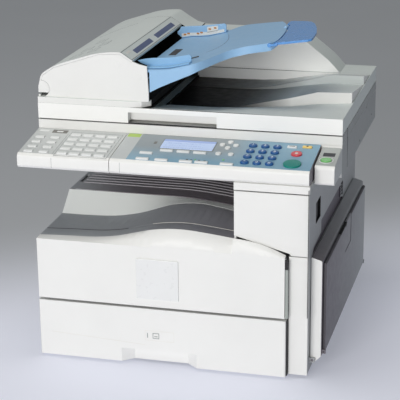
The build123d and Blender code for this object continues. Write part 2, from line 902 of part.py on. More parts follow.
with BuildPart() as power_inlet:
    block(
        (inlet_x - inlet_half - inlet_flange, inlet_x + inlet_half + inlet_flange),
        (body_back, body_back + 2),
        (inlet_z - inlet_rise - inlet_flange, inlet_z + inlet_rise + inlet_flange),
    )
    block(
        (inlet_x - inlet_half + 0.4, inlet_x + inlet_half - 0.4),
        (body_back - 22, body_back),
        (inlet_z - inlet_rise + 0.4, inlet_z + inlet_rise - 0.4),
    )
    socket_outline = (
        (inlet_x - 12, inlet_z - 8),
        (inlet_x + 12, inlet_z - 8),
        (inlet_x + 12, inlet_z + 3),
        (inlet_x + 7, inlet_z + 8),
        (inlet_x - 7, inlet_z + 8),
        (inlet_x - 12, inlet_z + 3),
    )
    prism_y(socket_outline, (body_back - 17, body_back + 3), Mode.SUBTRACT)
    for blade_x, blade_z in ((inlet_x - 7, inlet_z - 2), (inlet_x, inlet_z + 2), (inlet_x + 7, inlet_z - 2)):
        block((blade_x - 1, blade_x + 1), (body_back - 18, body_back - 3), (blade_z - 2, blade_z + 2))
power_inlet.part.label = "power_inlet"
export_step(power_inlet.part, "parts/power_inlet.step")


# Side door on the right, with the bypass tray folded against it

door_outer_top = 178.0
bypass_low = 34.0
bypass_high = 174.0
bypass_front = -68.0
bypass_back = 308.0
bypass_thick = 4.0
bypass_pin = 1.5
bypass_notch = ((105.0, 160.0), 128.0)
bypass_face = door_out + door_gap
bypass_axis = (bypass_face + bypass_thick / 2, bypass_low + 2.2)

with BuildPart() as side_door:
    door_outline = (
        (door_left, door_low + 3),
        (door_left + 2, door_low + 1),
        (door_left + 6, door_low),
        (door_out, door_low + 11),
        (door_out, door_outer_top),
        (door_out - 3, door_outer_top + 2),
        (door_left, door_high),
    )
    prism_y(door_outline, (door_front, door_back))
    door_inside = (
        (door_left - 1, door_low + 9),
        (door_left + 7, door_low + 9),
        (door_out - 3, door_low + 16),
        (door_out - 3, door_outer_top - 3),
        (door_left - 1, door_high - 4),
    )
    prism_y(door_inside, (door_front + wall, door_back - wall), Mode.SUBTRACT)
    for number in range(8):
        rib_y = paper_mid - 98 + 28 * number
        rib_outline = (
            (door_out - 2.5, door_low + 24),
            (door_left - 9, door_low + 46),
            (door_left - 13, door_low + 92),
            (door_left - 9, door_high - 26),
            (door_out - 2.5, door_outer_top - 8),
        )
        prism_y(rib_outline, (rib_y, rib_y + 2))
    for pin_y in ((door_front - 4, door_front), (door_back, door_back + 4)):
        rod_y(door_axis_x, door_axis_z, door_pin, pin_y)
    for lug_y in ((bypass_front - 4.5, bypass_front - 0.5), (bypass_back + 0.5, bypass_back + 4.5)):
        block((door_out - 1, bypass_axis[0] + 3), lug_y, (bypass_axis[1] - 3, bypass_axis[1] + 3))
        rod_y(*bypass_axis, bypass_pin + running_gap, (lug_y[0] - 1, lug_y[1] + 1), Mode.SUBTRACT)
side_door.part.label = "side_door"
export_step(side_door.part, "parts/side_door.step")

with BuildPart() as bypass_tray:
    half_thick = bypass_thick / 2
    bypass_outline = (
        (bypass_axis[0] - half_thick, bypass_axis[1]),
        (bypass_axis[0] - 1.5, bypass_axis[1] - 1.5),
        (bypass_axis[0], bypass_low),
        (bypass_axis[0] + 1.5, bypass_axis[1] - 1.5),
        (bypass_axis[0] + half_thick, bypass_axis[1]),
        (bypass_axis[0] + half_thick, bypass_high - 2),
        (bypass_axis[0] + 0.5, bypass_high),
        (bypass_axis[0] - half_thick, bypass_high),
    )
    prism_y(bypass_outline, (bypass_front, bypass_back))
    block(
        (bypass_face - 1, bypass_face + bypass_thick + 1),
        bypass_notch[0],
        (bypass_notch[1], bypass_high + 1),
        Mode.SUBTRACT,
    )
    for pin_y in ((bypass_front - 4, bypass_front), (bypass_back, bypass_back + 4)):
        rod_y(*bypass_axis, bypass_pin, pin_y)
bypass_tray.part.label = "bypass_tray"
export_step(bypass_tray.part, "parts/bypass_tray.step")


# Scanner: floor pan, top frame, two glasses and the scan carriage

rail_places = (50.0, 262.0)
rail_width = 6.0
rail_top = scanner_floor + 17.0
carriage_x = (64.0, 92.0)
carriage_top = scanner_top + 6.0
glass_x = (110.0, 415.0)
glass_y = (40.0, 260.0)
strip_x = (68.0, 88.0)
glass_thick = 4.0
rebate = 4.0
bezel_plate = 7.0

with BuildPart() as scanner_housing:
    block((0, lid_width), (0, lid_depth), (scanner_floor, scanner_top))
    inside_x = (wall, lid_width - wall)
    inside_y = (wall, lid_depth - wall)
    block(inside_x, inside_y, (scanner_floor + wall, scanner_top + 1), Mode.SUBTRACT)
    for rail_y in rail_places:
        block((30, lid_width - 30), (rail_y, rail_y + rail_width), (scanner_floor + wall, rail_top))
    block((column_left, body_right + seam), (column_face, 0), (scanner_floor + 1.6, scanner_floor + 13))
    block(
        (column_left + wall, body_right + seam - wall),
        (column_face + wall, -wall),
        (scanner_floor, scanner_floor + 10),
        Mode.SUBTRACT,
    )
    block((lid_width - 0.7, lid_width + 1), (50, 51), (scanner_floor - 1, scanner_top + 1), Mode.SUBTRACT)
scanner_housing.part.label = "scanner_housing"
export_step(scanner_housing.part, "parts/scanner_housing.step")

with BuildPart() as scanner_bezel:
    block((0, lid_width), (0, lid_depth), (scanner_top, glass_top))
    block(inside_x, inside_y, (scanner_top - 1, glass_top - bezel_plate), Mode.SUBTRACT)
    for pane_x in (glass_x, strip_x):
        block(pane_x, glass_y, (glass_top - glass_thick, glass_top + 1), Mode.SUBTRACT)
        block(
            (pane_x[0] + rebate, pane_x[1] - rebate),
            (glass_y[0] + rebate, glass_y[1] - rebate),
            (scanner_top, glass_top + 1),
            Mode.SUBTRACT,
        )
scanner_bezel.part.label = "scanner_bezel"
export_step(scanner_bezel.part, "parts/scanner_bezel.step")


def pane(x):
    """Glass pane with its small clearance in the rebate."""
    block(
        (x[0] + nip_gap, x[1] - nip_gap),
        (glass_y[0] + nip_gap, glass_y[1] - nip_gap),
        (glass_top - glass_thick, glass_top),
    )


with BuildPart() as exposure_glass:
    pane(glass_x)
exposure_glass.part.label = "exposure_glass"
export_step(exposure_glass.part, "parts/exposure_glass.step")

with BuildPart() as feeder_glass:
    pane(strip_x)
feeder_glass.part.label = "feeder_glass"
export_step(feeder_glass.part, "parts/feeder_glass.step")

with BuildPart() as scan_carriage:
    block(carriage_x, (glass_y[0] - 2, glass_y[1] + 14), (rail_top, carriage_top - 4))
    block(past(carriage_x, -4), past(glass_y, -4), (carriage_top - 4, carriage_top))
    block(past(carriage_x, -11), past(glass_y, -8), (carriage_top - 3, carriage_top + 1), Mode.SUBTRACT)
scan_carriage.part.label = "scan_carriage"
export_step(scan_carriage.part, "parts/scan_carriage.step")


# Control panel, keypad housing and reader housing, all in front of the scanner

panel_top = scanner_top
lip_top = panel_top - panel_slope * panel_depth
lip_bottom = lip_top - panel_lip
panel_skin = 3.0
panel_face = Plane(
    origin=(-mid_x, -mid_y, panel_top),
    x_dir=(1, 0, 0),
    z_dir=(0, -panel_slope, 1),
)


def panel_outline(inset):
    """Side outline of the sloped housing, drawn in by inset."""
    return (
        (0 if inset == 0 else -inset, panel_top - inset),
        (-panel_depth + 5 + inset * 0.4, lip_top + 0.6 - inset),
        (-panel_depth + 1 + inset, lip_top - 2.5 - inset * 0.4),
        (-panel_depth + inset, lip_top - 6),
        (-panel_depth + inset, lip_bottom + 4),
        (-panel_depth + 4, lip_bottom + inset),
        (0 if inset == 0 else -inset, lip_bottom + inset),
    )


def panel_shell(x0, x1):
    """Hollow sloped housing between two places in x."""
    prism_x(panel_outline(0), (x0, x1))
    prism_x(panel_outline(panel_skin), (x0 + panel_skin, x1 - panel_skin), Mode.SUBTRACT)


def key_bars(places, width, depth, grow, low, high, mode=Mode.ADD):
    """Rectangular key bodies standing square to the sloped panel."""
    with BuildSketch(panel_face.offset(low)) as caps:
        with Locations(*places):
            RectangleRounded(width + 2 * grow, depth + 2 * grow, 1.2)
    extrude(caps.sketch, amount=high - low, mode=mode)


def key_rounds(places, width, depth, grow, low, high, mode=Mode.ADD):
    """Round or oval key bodies standing square to the sloped panel."""
    with BuildSketch(panel_face.offset(low)) as caps:
        with Locations(*places):
            if width == depth:
                Circle(width / 2 + grow)
            else:
                Ellipse(width / 2 + grow, depth / 2 + grow)
    extrude(caps.sketch, amount=high - low, mode=mode)


def key_caps(shape, places, width, depth):
    """Key caps with the flange that holds them under the panel skin."""
    flange_top_depth = flange_height - key_depth
    shape(places, width, depth, 0, flange_top_depth, key_rise)
    if shape is key_bars:
        shape(places, width + 2 * (flange + key_gap), depth, 0, -key_depth, flange_top_depth)
    else:
        shape(places, width, depth, flange + key_gap, -key_depth, flange_top_depth)


def key_holes(shape, places, width, depth):
    """Openings in the panel skin for the caps."""
    shape(places, width, depth, key_gap, -panel_skin - 1, 1, Mode.SUBTRACT)


quick_first = (67.4, -20.6)
quick_pitch = (19.2, 16.6)
quick_size = (15.6, 6.0)
quick_places = [
    (quick_first[0] + column * quick_pitch[0], quick_first[1] - row * quick_pitch[1])
    for row in range(5)
    for column in range(4)
]
left_key_places = [(column, -34.4 - row * 17.2) for row in range(4) for column in (14.6, 38.4)]
left_key_size = (14.0, 5.4)

bar_size = (19.4, 5.0)
bar_places = [
    (190.4, -66.8),
    (190.4, -87.2),
    (218.9, -87.4),
    (218.0, -54.6),
    (243.2, -54.9),
    (268.2, -55.1),
    (255.4, -87.2),
    (278.4, -87.0),
    (315.8, -87.2),
]
cursor_size = 8.4
cursor_centre = (304.6, -22.4)
cursor_reach = 10.2
cursor_places = [
    (cursor_centre[0], cursor_centre[1] + cursor_reach),
    (cursor_centre[0], cursor_centre[1] - cursor_reach),
    (cursor_centre[0] - cursor_reach, cursor_centre[1]),
    (cursor_centre[0] + cursor_reach, cursor_centre[1]),
    (295.6, -53.8),
    (314.4, -53.8),
]
number_first = (339.8, -19.4)
number_pitch = (18.1, 19.4)
number_size = (12.6, 10.6)
number_places = [
    (number_first[0] + column * number_pitch[0], number_first[1] - row * number_pitch[1])
    for row in range(4)
    for column in range(3)
]
clear_place = [(397.0, -15.6)]
energy_place = [(419.0, -12.6)]
small_size = (14.0, 5.4)
stop_place = [(408.0, -38.4)]
stop_size = 16.0
start_place = [(408.2, -73.0)]
start_size = 26.0
display_x = (208.0, 281.0)
display_y = (-45.6, -18.6)

with BuildPart() as control_panel:
    panel_shell(panel_split + seam / 2, panel_right)
    key_holes(key_bars, bar_places, *bar_size)
    key_holes(key_rounds, cursor_places, cursor_size, cursor_size)
    key_holes(key_rounds, number_places, *number_size)
    key_holes(key_bars, clear_place, *small_size)
    key_holes(key_bars, energy_place, *small_size)
    key_holes(key_rounds, stop_place, stop_size, stop_size)
    key_holes(key_rounds, start_place, start_size, start_size)
    with BuildSketch(panel_face.offset(-1.6)) as window:
        with Locations(((display_x[0] + display_x[1]) / 2, (display_y[0] + display_y[1]) / 2)):
            Rectangle(display_x[1] - display_x[0], display_y[1] - display_y[0])
    extrude(window.sketch, amount=3, mode=Mode.SUBTRACT)
control_panel.part.label = "control_panel"
export_step(control_panel.part, "parts/control_panel.step")

with BuildPart() as display:
    with BuildSketch(panel_face.offset(-1.6)) as pane_sketch:
        with Locations(((display_x[0] + display_x[1]) / 2, (display_y[0] + display_y[1]) / 2)):
            Rectangle(display_x[1] - display_x[0] - 2 * key_gap, display_y[1] - display_y[0] - 2 * key_gap)
    extrude(pane_sketch.sketch, amount=1.2)
display.part.label = "display"
export_step(display.part, "parts/display.step")

with BuildPart() as keypad_module:
    panel_shell(0, panel_split - seam / 2)
    key_holes(key_bars, quick_places, *quick_size)
    key_holes(key_bars, left_key_places, *left_key_size)
keypad_module.part.label = "keypad_module"
export_step(keypad_module.part, "parts/keypad_module.step")

with BuildPart() as quick_dial_keys:
    key_caps(key_bars, quick_places, *quick_size)
    key_caps(key_bars, left_key_places, *left_key_size)
quick_dial_keys.part.label = "quick_dial_keys"
export_step(quick_dial_keys.part, "parts/quick_dial_keys.step")

with BuildPart() as panel_keys:
    key_caps(key_bars, bar_places, *bar_size)
    key_caps(key_rounds, cursor_places, cursor_size, cursor_size)
panel_keys.part.label = "panel_keys"
export_step(panel_keys.part, "parts/panel_keys.step")

with BuildPart() as number_keys:
    key_caps(key_rounds, number_places, *number_size)
number_keys.part.label = "number_keys"
export_step(number_keys.part, "parts/number_keys.step")

with BuildPart() as clear_key:
    key_caps(key_bars, clear_place, *small_size)
clear_key.part.label = "clear_key"
export_step(clear_key.part, "parts/clear_key.step")

with BuildPart() as energy_key:
    key_caps(key_bars, energy_place, *small_size)
energy_key.part.label = "energy_key"
export_step(energy_key.part, "parts/energy_key.step")

with BuildPart() as stop_key:
    key_caps(key_rounds, stop_place, stop_size, stop_size)
stop_key.part.label = "stop_key"
export_step(stop_key.part, "parts/stop_key.step")

with BuildPart() as start_key:
    key_caps(key_rounds, start_place, start_size, start_size)
start_key.part.label = "start_key"
export_step(start_key.part, "parts/start_key.step")

module_key_place = (452.2, -45.6)
module_key_size = 16.0
module_top = scanner_top - 3.3
module_low = 290.0
module_face = Plane(
    origin=(-mid_x, -mid_y, module_top),
    x_dir=(1, 0, 0),
    z_dir=(0, -panel_slope, 1),
)


def module_round(grow, low, high, mode=Mode.ADD):
    """Oval body at the module key's place."""
    with BuildSketch(module_face.offset(low)) as cap:
        with Locations(module_key_place):
            Ellipse(module_key_size / 2 + grow, module_key_size / 2 - 1.5 + grow)
    extrude(cap.sketch, amount=high - low, mode=mode)


with BuildPart() as key_module:
    module_lip = module_top - panel_slope * module_depth
    module_outline = (
        (0, module_top),
        (-module_depth + 3, module_lip + 0.5),
        (-module_depth, module_lip - 4),
        (-module_depth, module_low + 3),
        (-module_depth + 3, module_low),
        (0, module_low),
    )
    prism_x(module_outline, (module_left, lid_width))
    inner_outline = (
        (-panel_skin, module_top - panel_skin - 0.4),
        (-module_depth + 4 + panel_skin, module_lip - panel_skin + 0.4),
        (-module_depth + panel_skin, module_lip - 6),
        (-module_depth + panel_skin, module_low + panel_skin),
        (-panel_skin, module_low + panel_skin),
    )
    prism_x(inner_outline, (module_left + panel_skin, lid_width - panel_skin), Mode.SUBTRACT)
    module_round(key_gap, -panel_skin - 1.2, 1, Mode.SUBTRACT)
key_module.part.label = "key_module"
export_step(key_module.part, "parts/key_module.step")

with BuildPart() as module_key:
    module_round(0, flange_height - key_depth, key_rise)
    module_round(flange + key_gap, -key_depth, flange_height - key_depth)
module_key.part.label = "module_key"
export_step(module_key.part, "parts/module_key.step")


# Lid: shell with a handle recess at the front and the feeder's exit tray on top

handle = ((143.0, 280.0), (lid_bottom, lid_bottom + 16.5))
handle_depth = 14.0
tray_start = 178.0
step_one = 96.0
step_two = 215.0
tray_back = 282.0
exit_x_points = (178.0, 249.0, 290.0, 325.0, 373.0, 414.0, 466.0)
low_front = (0.0, 0.0, 0.0, 0.0, 0.0, 0.0, 0.0)
low_back = (-18.0, -18.0, -16.4, -13.6, -9.8, -4.0, -0.6)
mid_front = (-17.6, -17.0, -15.6, -7.3, 3.0, 14.0, 15.6)
mid_back = (-18.0, -18.0, -17.0, -14.6, -6.0, -0.4, -0.2)
high_front = (-17.4, -16.8, -14.6, -9.6, 1.6, 12.6, 12.9)
high_back = (-17.6, -17.6, -17.0, -14.6, -6.0, -0.4, -0.2)


def exit_band(front, back, front_rises, back_rises):
    """One band of the exit tray between two depths, lofted along x."""
    sections = []
    for x, front_rise, back_rise in zip(exit_x_points, front_rises, back_rises):
        with BuildSketch(side_plane(x)) as section:
            with BuildLine():
                Polyline(
                    (front, lid_top + front_rise),
                    (back, lid_top + back_rise),
                    (back, lid_top + back_rise - wall),
                    (front, lid_top + front_rise - wall),
                    close=True,
                )
            make_face()
        sections.append(section.sketch)
    loft(sections, ruled=True)


def exit_riser(y, upper_rises, lower_rises):
    """Upright step between two lines of the exit tray at depth y."""
    upper = [(x, lid_top + rise) for x, rise in zip(exit_x_points, upper_rises)]
    lower = [(x, lid_top + rise - wall) for x, rise in zip(exit_x_points, lower_rises)]
    prism_y([*upper, *reversed(lower)], (y, y + 2))


with BuildPart() as lid_shell:
    block((0, lid_width), (0, lid_depth), (lid_bottom, lid_top))
    block(inside_x, inside_y, (lid_bottom - 1, lid_bottom + 2), Mode.SUBTRACT)
    lid_inside = (lid_bottom + 4, lid_top - wall)
    block((wall, tray_start), inside_y, lid_inside, Mode.SUBTRACT)
    block((tray_start, lid_width - 2), (wall, tray_back), (lid_inside[0], lid_top + 1), Mode.SUBTRACT)
    block((tray_start, inside_x[1]), (tray_back + wall, inside_y[1]), lid_inside, Mode.SUBTRACT)
    exit_band(wall, step_one, low_front, low_back)
    exit_band(step_one, step_two, mid_front, mid_back)
    exit_band(step_two, tray_back, high_front, high_back)
    exit_riser(step_one, mid_front, low_back)
    exit_riser(step_two, high_front, mid_back)
    ledge_end = (
        (wall, lid_top),
        (wall, lid_bottom + 4),
        (tray_back, lid_bottom + 4),
        (tray_back, lid_top),
        (step_two, lid_top + high_front[-1]),
        (step_two, lid_top),
        (step_one, lid_top + mid_front[-1]),
        (step_one, lid_top),
    )
    prism_x(ledge_end, (lid_width - 4, lid_width - 2))
    block((tray_start, tray_start + 2), (wall, tray_back), (lid_bottom + 4, lid_top - 15))
    block(
        (handle[0][0] - 2, handle[0][1] + 2),
        (wall, handle_depth + 2),
        (lid_bottom + 2, handle[1][1] + 2),
    )
    block(handle[0], (-1, handle_depth), (lid_bottom - 1, handle[1][1]), Mode.SUBTRACT)
    for ear_left in hinge_places:
        ear = (ear_left, ear_left + hinge_width)
        block(ear, (lid_depth - 1, hinge_y), (lid_bottom + 0.5, hinge_z + knuckle_radius))
        rod_x(hinge_y, hinge_z, knuckle_radius, ear)
        rod_x(hinge_y, hinge_z, hinge_pin_radius + running_gap, past(ear), Mode.SUBTRACT)
lid_shell.part.label = "lid_shell"
export_step(lid_shell.part, "parts/lid_shell.step")

with BuildPart() as platen_pad:
    block((100, 426), (30, 270), (glass_top + nip_gap, lid_bottom + 2))
platen_pad.part.label = "platen_pad"
export_step(platen_pad.part, "parts/platen_pad.step")

with BuildPart() as lid_hinges:
    for ear_left in hinge_places:
        bracket = (ear_left - 1 - wall, ear_left + hinge_width + 1 + wall)
        block(bracket, (lid_depth, lid_depth + wall), (scanner_top - 16, lid_bottom - 1))
        for cheek_left in (bracket[0], bracket[1] - wall):
            block(
                (cheek_left, cheek_left + wall),
                (lid_depth, hinge_y + knuckle_radius),
                (scanner_top - 8, hinge_z),
            )
            rod_x(hinge_y, hinge_z, knuckle_radius, (cheek_left, cheek_left + wall))
        rod_x(hinge_y, hinge_z, hinge_pin_radius, (bracket[0] + 1, bracket[1] - 1))
lid_hinges.part.label = "lid_hinges"
export_step(lid_hinges.part, "parts/lid_hinges.step")


# Document feeder on the lid

feeder_front = 5.0
feeder_back = 345.0
feeder_right = 174.5
cover_back = 281.0
drive_front = cover_back + 0.6
flange_top = lid_top + 9.0
cover_pivot = (5.0, lid_top + 21.0)
pivot_radius = 12.5
disc_gap = 0.4
pivot_pin = 2.0
pivot_lug = 3.9
skin = 3.0
cheek = 3.0
pickup_x = 127.0
pickup_z = lid_top + 64.0
pickup_radius = 9.0
pickup_shaft = 3.0
exit_mouth = (flange_top + 1, lid_top + 26)
doc_pivot = (160.0, lid_top + 46.0)
doc_pin = 2.5
doc_left = 160.0
doc_edge = (9.0, 262.0)


def feeder_outline(inset):
    """Outline of the feeder seen from the front, over its hinge at the left."""
    return [
        (4.9 + inset * 0.8, lid_top + 43 - inset * 0.5),
        (24 + inset * 0.4, lid_top + 57 - inset),
        (99.7, lid_top + 81.2 - inset),
        (131.6 - inset * 0.3, lid_top + 82.7 - inset),
        (150.5, lid_top + 70.5 - inset),
    ]


def hinge_disc(radius, y, mode=Mode.ADD):
    """Round body about the feed cover's pivot."""
    rod_y(cover_pivot[0], cover_pivot[1], radius, y, mode)


with BuildPart() as feeder_base:
    flange_plan = (
        (0, 0.5),
        (145, 0.5),
        (163, 4),
        (feeder_right, 18),
        (feeder_right, feeder_back),
        (0, feeder_back),
    )
    prism_z(flange_plan, (lid_top, flange_top))
    front_wall = [(6, flange_top), (6, lid_top + 36)]
    front_wall += feeder_outline(skin + fit_gap)
    front_wall += [(150.6, lid_top + 69), (160, lid_top + 65.5), (172.7, lid_top + 62.7)]
    front_wall += [(feeder_right, lid_top + 25), (feeder_right, flange_top)]
    prism_y(front_wall, (feeder_front, feeder_front + cheek))
    hinge_disc(pivot_radius + disc_gap, (feeder_front - 1, feeder_front + cheek + fit_gap), Mode.SUBTRACT)
    drive_outline = [(0, flange_top), (0, lid_top + 24), *feeder_outline(0)]
    drive_outline += [(162, lid_top + 64), (feeder_right, lid_top + 61), (feeder_right, flange_top)]
    drive_inside = [(skin, flange_top), (skin, lid_top + 23), *feeder_outline(skin)]
    drive_inside += [(162, lid_top + 61), (feeder_right - skin, lid_top + 58)]
    drive_inside += [(feeder_right - skin, flange_top)]
    prism_y(drive_outline, (drive_front, feeder_back))
    prism_y(drive_inside, (drive_front + cheek, feeder_back - cheek), Mode.SUBTRACT)
    block((60, 100), (drive_front - 1, drive_front + cheek + 1), (lid_top + 48, lid_top + 66), Mode.SUBTRACT)
    block((0, 3), (feeder_front, drive_front), (flange_top, lid_top + 12))
    block((40, 108), (feeder_front + cheek, drive_front), (flange_top, lid_top + 44))
    lug_y = (feeder_front + cheek + 0.4, feeder_front + cheek + 4.4)
    block((cover_pivot[0], 41), lug_y, (cover_pivot[1] - 2, cover_pivot[1] + 3))
    hinge_disc(pivot_lug, lug_y)
    fascia_y = (feeder_front + cheek, drive_front)
    block((feeder_right - 3, feeder_right), fascia_y, (exit_mouth[1], lid_top + 44))
    bearing = (doc_edge[1] + 1, doc_edge[1] + 5)
    block((doc_pivot[0] - 8, feeder_right - 2), bearing, (flange_top, doc_pivot[1] + 5))
    for pin, radius, span in (
        (cover_pivot, pivot_pin, (feeder_front, lug_y[1] + 1)),
        (cover_pivot, pivot_pin, (drive_front - 1, drive_front + cheek + 1)),
        (doc_pivot, doc_pin, (feeder_front - 1, feeder_front + cheek + 1)),
        (doc_pivot, doc_pin, (bearing[0] - 1, bearing[1] + 1)),
        ((pickup_x, pickup_z), pickup_shaft, (feeder_front - 1, drive_front + cheek + 1)),
    ):
        rod_y(pin[0], pin[1], radius + running_gap, span, Mode.SUBTRACT)
feeder_base.part.label = "feeder_base"
export_step(feeder_base.part, "parts/feeder_base.step")

with BuildPart() as feed_cover:
    shell_outline = [(0, lid_top + 15), (0, lid_top + 24), *feeder_outline(0)]
    inner = [(skin, lid_top + 15), (skin, lid_top + 24), *feeder_outline(skin)]
    prism_y([*shell_outline, *reversed(inner)], (feeder_front, cover_back))
    cheek_outline = shell_outline[:3] + [(30, lid_top + 57), (30, lid_top + 15)]
    for wall_y in (feeder_front, cover_back - cheek):
        with BuildSketch(front_plane(wall_y + cheek)) as cheek_sketch:
            with BuildLine():
                Polyline(*cheek_outline, close=True)
            make_face()
            with Locations(cover_pivot):
                Circle(pivot_radius, mode=Mode.INTERSECT)
        extrude(cheek_sketch.sketch, amount=cheek)
    hinge_disc(pivot_lug + fit_gap, (feeder_front + cheek, lug_y[1] + 0.4), Mode.SUBTRACT)
    hinge_disc(pivot_pin, (feeder_front + cheek, lug_y[1]))
    hinge_disc(pivot_pin, (cover_back, drive_front + cheek - 0.3))
feed_cover.part.label = "feed_cover"
export_step(feed_cover.part, "parts/feed_cover.step")

with BuildPart() as pickup_roller:
    rod_y(pickup_x, pickup_z, pickup_shaft, (feeder_front + 0.5, drive_front + cheek + 3))
    for tyre_y in (112, 152):
        rod_y(pickup_x, pickup_z, pickup_radius, (tyre_y, tyre_y + 22))
pickup_roller.part.label = "pickup_roller"
export_step(pickup_roller.part, "parts/pickup_roller.step")


# Document tray, its guides and its extension

doc_thick = 4.0
doc_rim = 2.5
doc_top = (
    (doc_left, lid_top + 54.0),
    (176.5, lid_top + 57.8),
    (191.0, lid_top + 58.6),
    (208.0, lid_top + 60.4),
    (240.0, lid_top + 68.5),
    (358.0, lid_top + 98.0),
)
doc_stations = (
    (176.5, 5.0, 262.0, 34.0),
    (191.0, 5.0, 262.0, 27.0),
    (208.0, 5.0, 262.0, 21.0),
    (240.0, 5.0, 263.0, 15.0),
    (251.0, 14.0, 278.0, 13.0),
    (262.0, 27.0, 281.0, 12.0),
    (276.0, 52.0, 274.0, 12.0),
    (290.0, 66.0, 265.0, 12.0),
    (311.0, 68.0, 251.0, 12.0),
    (331.0, 62.0, 236.0, 12.0),
    (342.0, 56.0, 207.0, 12.0),
    (351.0, 51.0, 170.0, 11.0),
    (356.0, 58.0, 134.0, 9.0),
    (358.0, 70.0, 100.0, 8.0),
)
extension_axis_x = 349.0
extension_pin = 1.5
extension_boss = 3.4
extension_ears = ((46.5, 50.0), (192.0, 195.5))


def doc_height(x):
    """Height of the document tray's surface at place x."""
    for (x0, z0), (x1, z1) in zip(doc_top, doc_top[1:]):
        if x <= x1:
            return z0 + (z1 - z0) * (x - x0) / (x1 - x0)
    return doc_top[-1][1]


def doc_section(x, front, back, skirt):
    """Section of the tray at place x: a plate with a skirt at its front and back."""
    top = doc_height(x)
    with BuildSketch(side_plane(x)) as section:
        with BuildLine():
            Polyline(
                (front, top - skirt),
                (front, top),
                (back, top),
                (back, top - doc_thick - 2),
                (back - doc_rim, top - doc_thick - 2),
                (back - doc_rim, top - doc_thick),
                (front + doc_rim, top - doc_thick),
                (front + doc_rim, top - skirt),
                close=True,
            )
        make_face()
    return section.sketch


extension_axis_z = doc_height(extension_axis_x) - doc_thick / 2

with BuildPart() as document_tray:
    loft([doc_section(*station) for station in doc_stations], ruled=True)
    root = [(x, z) for x, z in doc_top[:2]]
    root_under = [(x, z - doc_thick) for x, z in root]
    prism_y([*root, *reversed(root_under)], doc_edge)
    for ear_y, pin_y in (
        ((doc_edge[0], doc_edge[0] + 4), (feeder_front + 0.3, doc_edge[0])),
        ((doc_edge[1] - 4, doc_edge[1]), (doc_edge[1], doc_edge[1] + 4.7)),
    ):
        ear = (
            (doc_pivot[0] - 4, doc_pivot[1] - 4),
            (doc_pivot[0] + 5, doc_pivot[1] - 4),
            (doc_pivot[0] + 9, doc_top[0][1] - 1),
            (doc_pivot[0], doc_top[0][1] - 1),
            (doc_pivot[0] - 4, doc_pivot[1] + 3),
        )
        prism_y(ear, ear_y)
        rod_y(doc_pivot[0], doc_pivot[1], doc_pin, pin_y)
    for boss_y in ((51.5, 60), (170, 184)):
        rod_y(extension_axis_x, extension_axis_z, extension_boss, boss_y)
    for bore_y in ((50, 57), (176, 185)):
        rod_y(extension_axis_x, extension_axis_z, extension_pin + running_gap, bore_y, Mode.SUBTRACT)
document_tray.part.label = "document_tray"
export_step(document_tray.part, "parts/document_tray.step")

guide_x = (162.0, 236.0)
guide_rise = 13.0
guide_thick = 3.0
guide_gap = 0.3


def document_guide(face_y, away):
    """Guide wall and its foot, resting just over the tray's surface."""
    stations = (guide_x[0], *(x for x, z in doc_top[1:4]), guide_x[1])
    lower = [(x, doc_height(x) + guide_gap) for x in stations]
    upper = [
        (guide_x[0], lower[0][1] + 4),
        (guide_x[0] + 6, lower[0][1] + 9),
        (stations[1] + 6, lower[1][1] + guide_rise),
        (guide_x[1] - 3, lower[-1][1] + guide_rise - 1),
        (guide_x[1], lower[-1][1] + guide_rise - 3),
    ]
    wall_edge = face_y + away * guide_thick
    prism_y([*lower, *reversed(upper)], (min(face_y, wall_edge), max(face_y, wall_edge)))
    foot_edge = face_y + away * 16
    raised = [(x, z + 2) for x, z in lower]
    prism_y([*lower, *reversed(raised)], (min(face_y, foot_edge), max(face_y, foot_edge)))


guide_mid = 137.0

with BuildPart() as front_guide:
    document_guide(guide_mid - 108, -1)
front_guide.part.label = "front_guide"
export_step(front_guide.part, "parts/front_guide.step")

with BuildPart() as rear_guide:
    document_guide(guide_mid + 108, 1)
rear_guide.part.label = "rear_guide"
export_step(rear_guide.part, "parts/rear_guide.step")

extension_thick = 3.4
extension_low = doc_height(351.0) - 3.7
extension_slope = 0.146
extension_plan = (
    (356.5, 50.5),
    (406.0, 50.5),
    (410.5, 54.0),
    (411.5, 62.0),
    (410.0, 100.0),
    (403.0, 140.0),
    (394.0, 175.0),
    (385.0, 196.0),
    (374.0, 206.0),
    (352.0, 219.0),
    (347.0, 219.0),
    (345.5, 205.0),
    (350.0, 190.0),
    (353.4, 185.0),
    (353.4, 172.0),
    (358.0, 136.0),
    (360.0, 100.0),
    (359.2, 68.0),
    (357.0, 57.0),
)


def extension_profile():
    """Side outline of the extension, rising to the right of its hinge."""
    left = 340.0
    right = 415.0
    start = extension_low + extension_slope * (left - extension_axis_x)
    end = extension_low + extension_slope * (right - extension_axis_x)
    return (
        (left, start),
        (right, end),
        (right, end + extension_thick),
        (left, start + extension_thick),
    )


with BuildPart() as tray_extension:
    prism_z(extension_plan, (extension_low - 20, extension_low + 40))
    prism_y(extension_profile(), (40, 230), Mode.INTERSECT)
    for ear_y, pin_y in zip(extension_ears, ((50, 56.5), (176.5, 192))):
        rod_y(extension_axis_x, extension_axis_z, extension_boss - 0.4, ear_y)
        rod_y(extension_axis_x, extension_axis_z, extension_pin, pin_y)
        arm = (
            (extension_axis_x, extension_axis_z - 1.6),
            (extension_axis_x + 11, extension_axis_z),
            (extension_axis_x + 11, extension_axis_z + 2.6),
            (extension_axis_x, extension_axis_z + 1.6),
        )
        prism_y(arm, ear_y)
    block((356.5, 361), (46.5, 51), (extension_axis_z, extension_axis_z + 2.4))
tray_extension.part.label = "tray_extension"
export_step(tray_extension.part, "parts/tray_extension.step")

arm_y = (284.0, 345.0)

